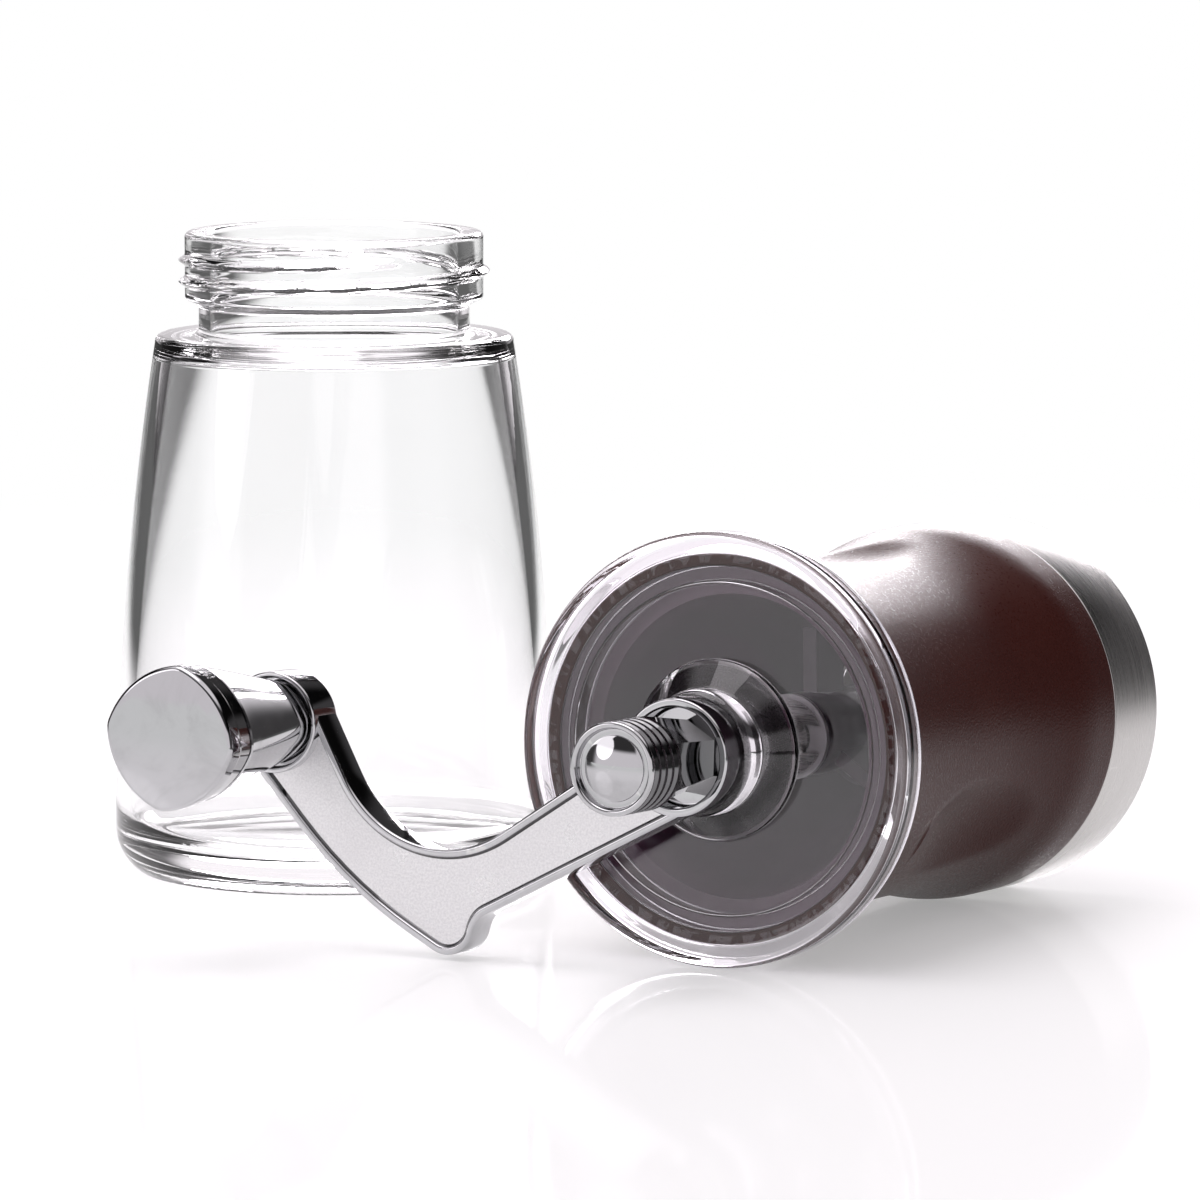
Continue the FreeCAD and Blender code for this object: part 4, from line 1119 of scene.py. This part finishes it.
def floorFinish():
    material = bpy.data.materials.new("whiteFloor")
    material.use_nodes = True
    tree = material.node_tree
    link = tree.links.new
    tree.nodes.remove(tree.nodes["Principled BSDF"])
    white = studio["floorWhite"]
    matte = add(tree, "BsdfDiffuse", Color=(white, white, white, 1))
    glow = add(tree, "Emission")
    shine = add(tree, "BsdfGlossy", Roughness=studio["floorRough"])
    camera, seen = rayChoice(tree)
    link(maths(tree, "MULTIPLY", seen, studio["floorGlow"]), glow.inputs["Strength"])
    lit = add(tree, "AddShader")
    link(matte.outputs[0], lit.inputs[0])
    link(glow.outputs[0], lit.inputs[1])
    glossy = mixedShader(tree, studio["floorShine"], lit.outputs[0], shine.outputs[0])
    # away from the object the floor fades into the plain white of the backdrop
    place = add(tree, "TexCoord")
    reach = add(tree, "VectorMath", {"operation": "LENGTH"})
    link(place.outputs["Object"], reach.inputs[0])
    away = ranged(tree, reach.outputs["Value"], studio["floorNear"], studio["floorFar"])
    plain = add(tree, "Emission")
    dimmed = flags(tree, place.outputs["Object"], studio["floorSides"], studio["floorSideTone"])
    link(maths(tree, "MAXIMUM", camera, dimmed), plain.inputs["Strength"])
    faded = mixedShader(tree, maths(tree, "MULTIPLY", away, seen), glossy, plain.outputs[0])
    link(faded, tree.nodes["Material Output"].inputs["Surface"])
    return material


def floorPiece():
    bm = bmesh.new()
    half = studio["floorHalf"]
    bm.faces.new([bm.verts.new((x * half, y * half, 0)) for x, y in ((-1, -1), (1, -1), (1, 1), (-1, 1))])
    floor = meshed("floor", bm)
    floor.data.materials.append(floorFinish())


def surround():
    # white for the camera; reflections and glass see a white horizon, a dark band and a soft box above
    world = bpy.data.worlds.new("studio")
    scene.world = world
    world.use_nodes = True
    tree = world.node_tree
    link = tree.links.new
    light = tree.nodes["Background"]
    way = add(tree, "TexCoord")
    split = add(tree, "SeparateXYZ")
    link(way.outputs["Generated"], split.inputs[0])
    height = split.outputs["Z"]
    low = ranged(tree, height, *studio["darkFrom"], 1.0, studio["darkTone"])
    sides = flags(tree, way.outputs["Generated"], studio["sides"], studio["sideTone"])
    high = ranged(tree, height, *studio["topFrom"], 0.0, studio["topTone"])
    mirrored = maths(tree, "ADD", maths(tree, "MULTIPLY", low, sides), high)
    camera, seen = rayChoice(tree)
    unseen = mixed(tree, "FLOAT", seen, studio["ambient"], mirrored)
    strength = mixed(tree, "FLOAT", camera, unseen, 1.0)
    colour = mixed(tree, "RGBA", camera, (*studio["tint"], 1), (1, 1, 1, 1))
    link(colour, light.inputs["Color"])
    link(strength, light.inputs["Strength"])


lamps = {
    "overhead": {"place": (-0.15, -0.1, 1.3), "aim": (0, 0, 0.03), "size": (1.1, 0.9), "power": 5.0},
    "rear": {"place": (-0.42, 1.2, 0.4), "aim": (0.03, 0, 0.04), "size": (0.8, 0.3), "power": 7.0},
    "front": {"place": (-0.9, -1.1, 0.5), "aim": (0, 0, 0.05), "size": (0.7, 0.7), "power": 2.0},
}


def aimed(made, place, way):
    made.location = place
    made.rotation_euler = way.to_track_quat("-Z", "Y").to_euler()


def lampSet():
    for name, lamp in lamps.items():
        data = bpy.data.lights.new(name, "AREA")
        data.shape = "ELLIPSE"
        data.size, data.size_y = lamp["size"]
        data.energy = lamp["power"]
        data.color = studio["tint"]
        aimed(placed(name, data), lamp["place"], Vector(lamp["aim"]) - Vector(lamp["place"]))


# place in metres, level heading, dip in radians, focal length and frame in pixels of the photograph
view = {
    "place": (0.65755, -1.16631, 0.214), "level": (-0.4801, 0.8772), "dip": 0.1203,
    "focal": 8292, "frame": 1200, "sensor": 36, "clipStart": 0.05,
}


def cameraSet():
    data = bpy.data.cameras.new("photoView")
    data.sensor_width = view["sensor"]
    data.lens = view["sensor"] * view["focal"] / view["frame"]
    data.clip_start = view["clipStart"]
    level = math.cos(view["dip"])
    way = Vector((view["level"][0] * level, view["level"][1] * level, -math.sin(view["dip"])))
    scene.camera = placed("photoView", data)
    aimed(scene.camera, view["place"], way)


floorPiece()
surround()
lampSet()
cameraSet()
scene.view_settings.view_transform = "Standard"
print("studio and camera set")
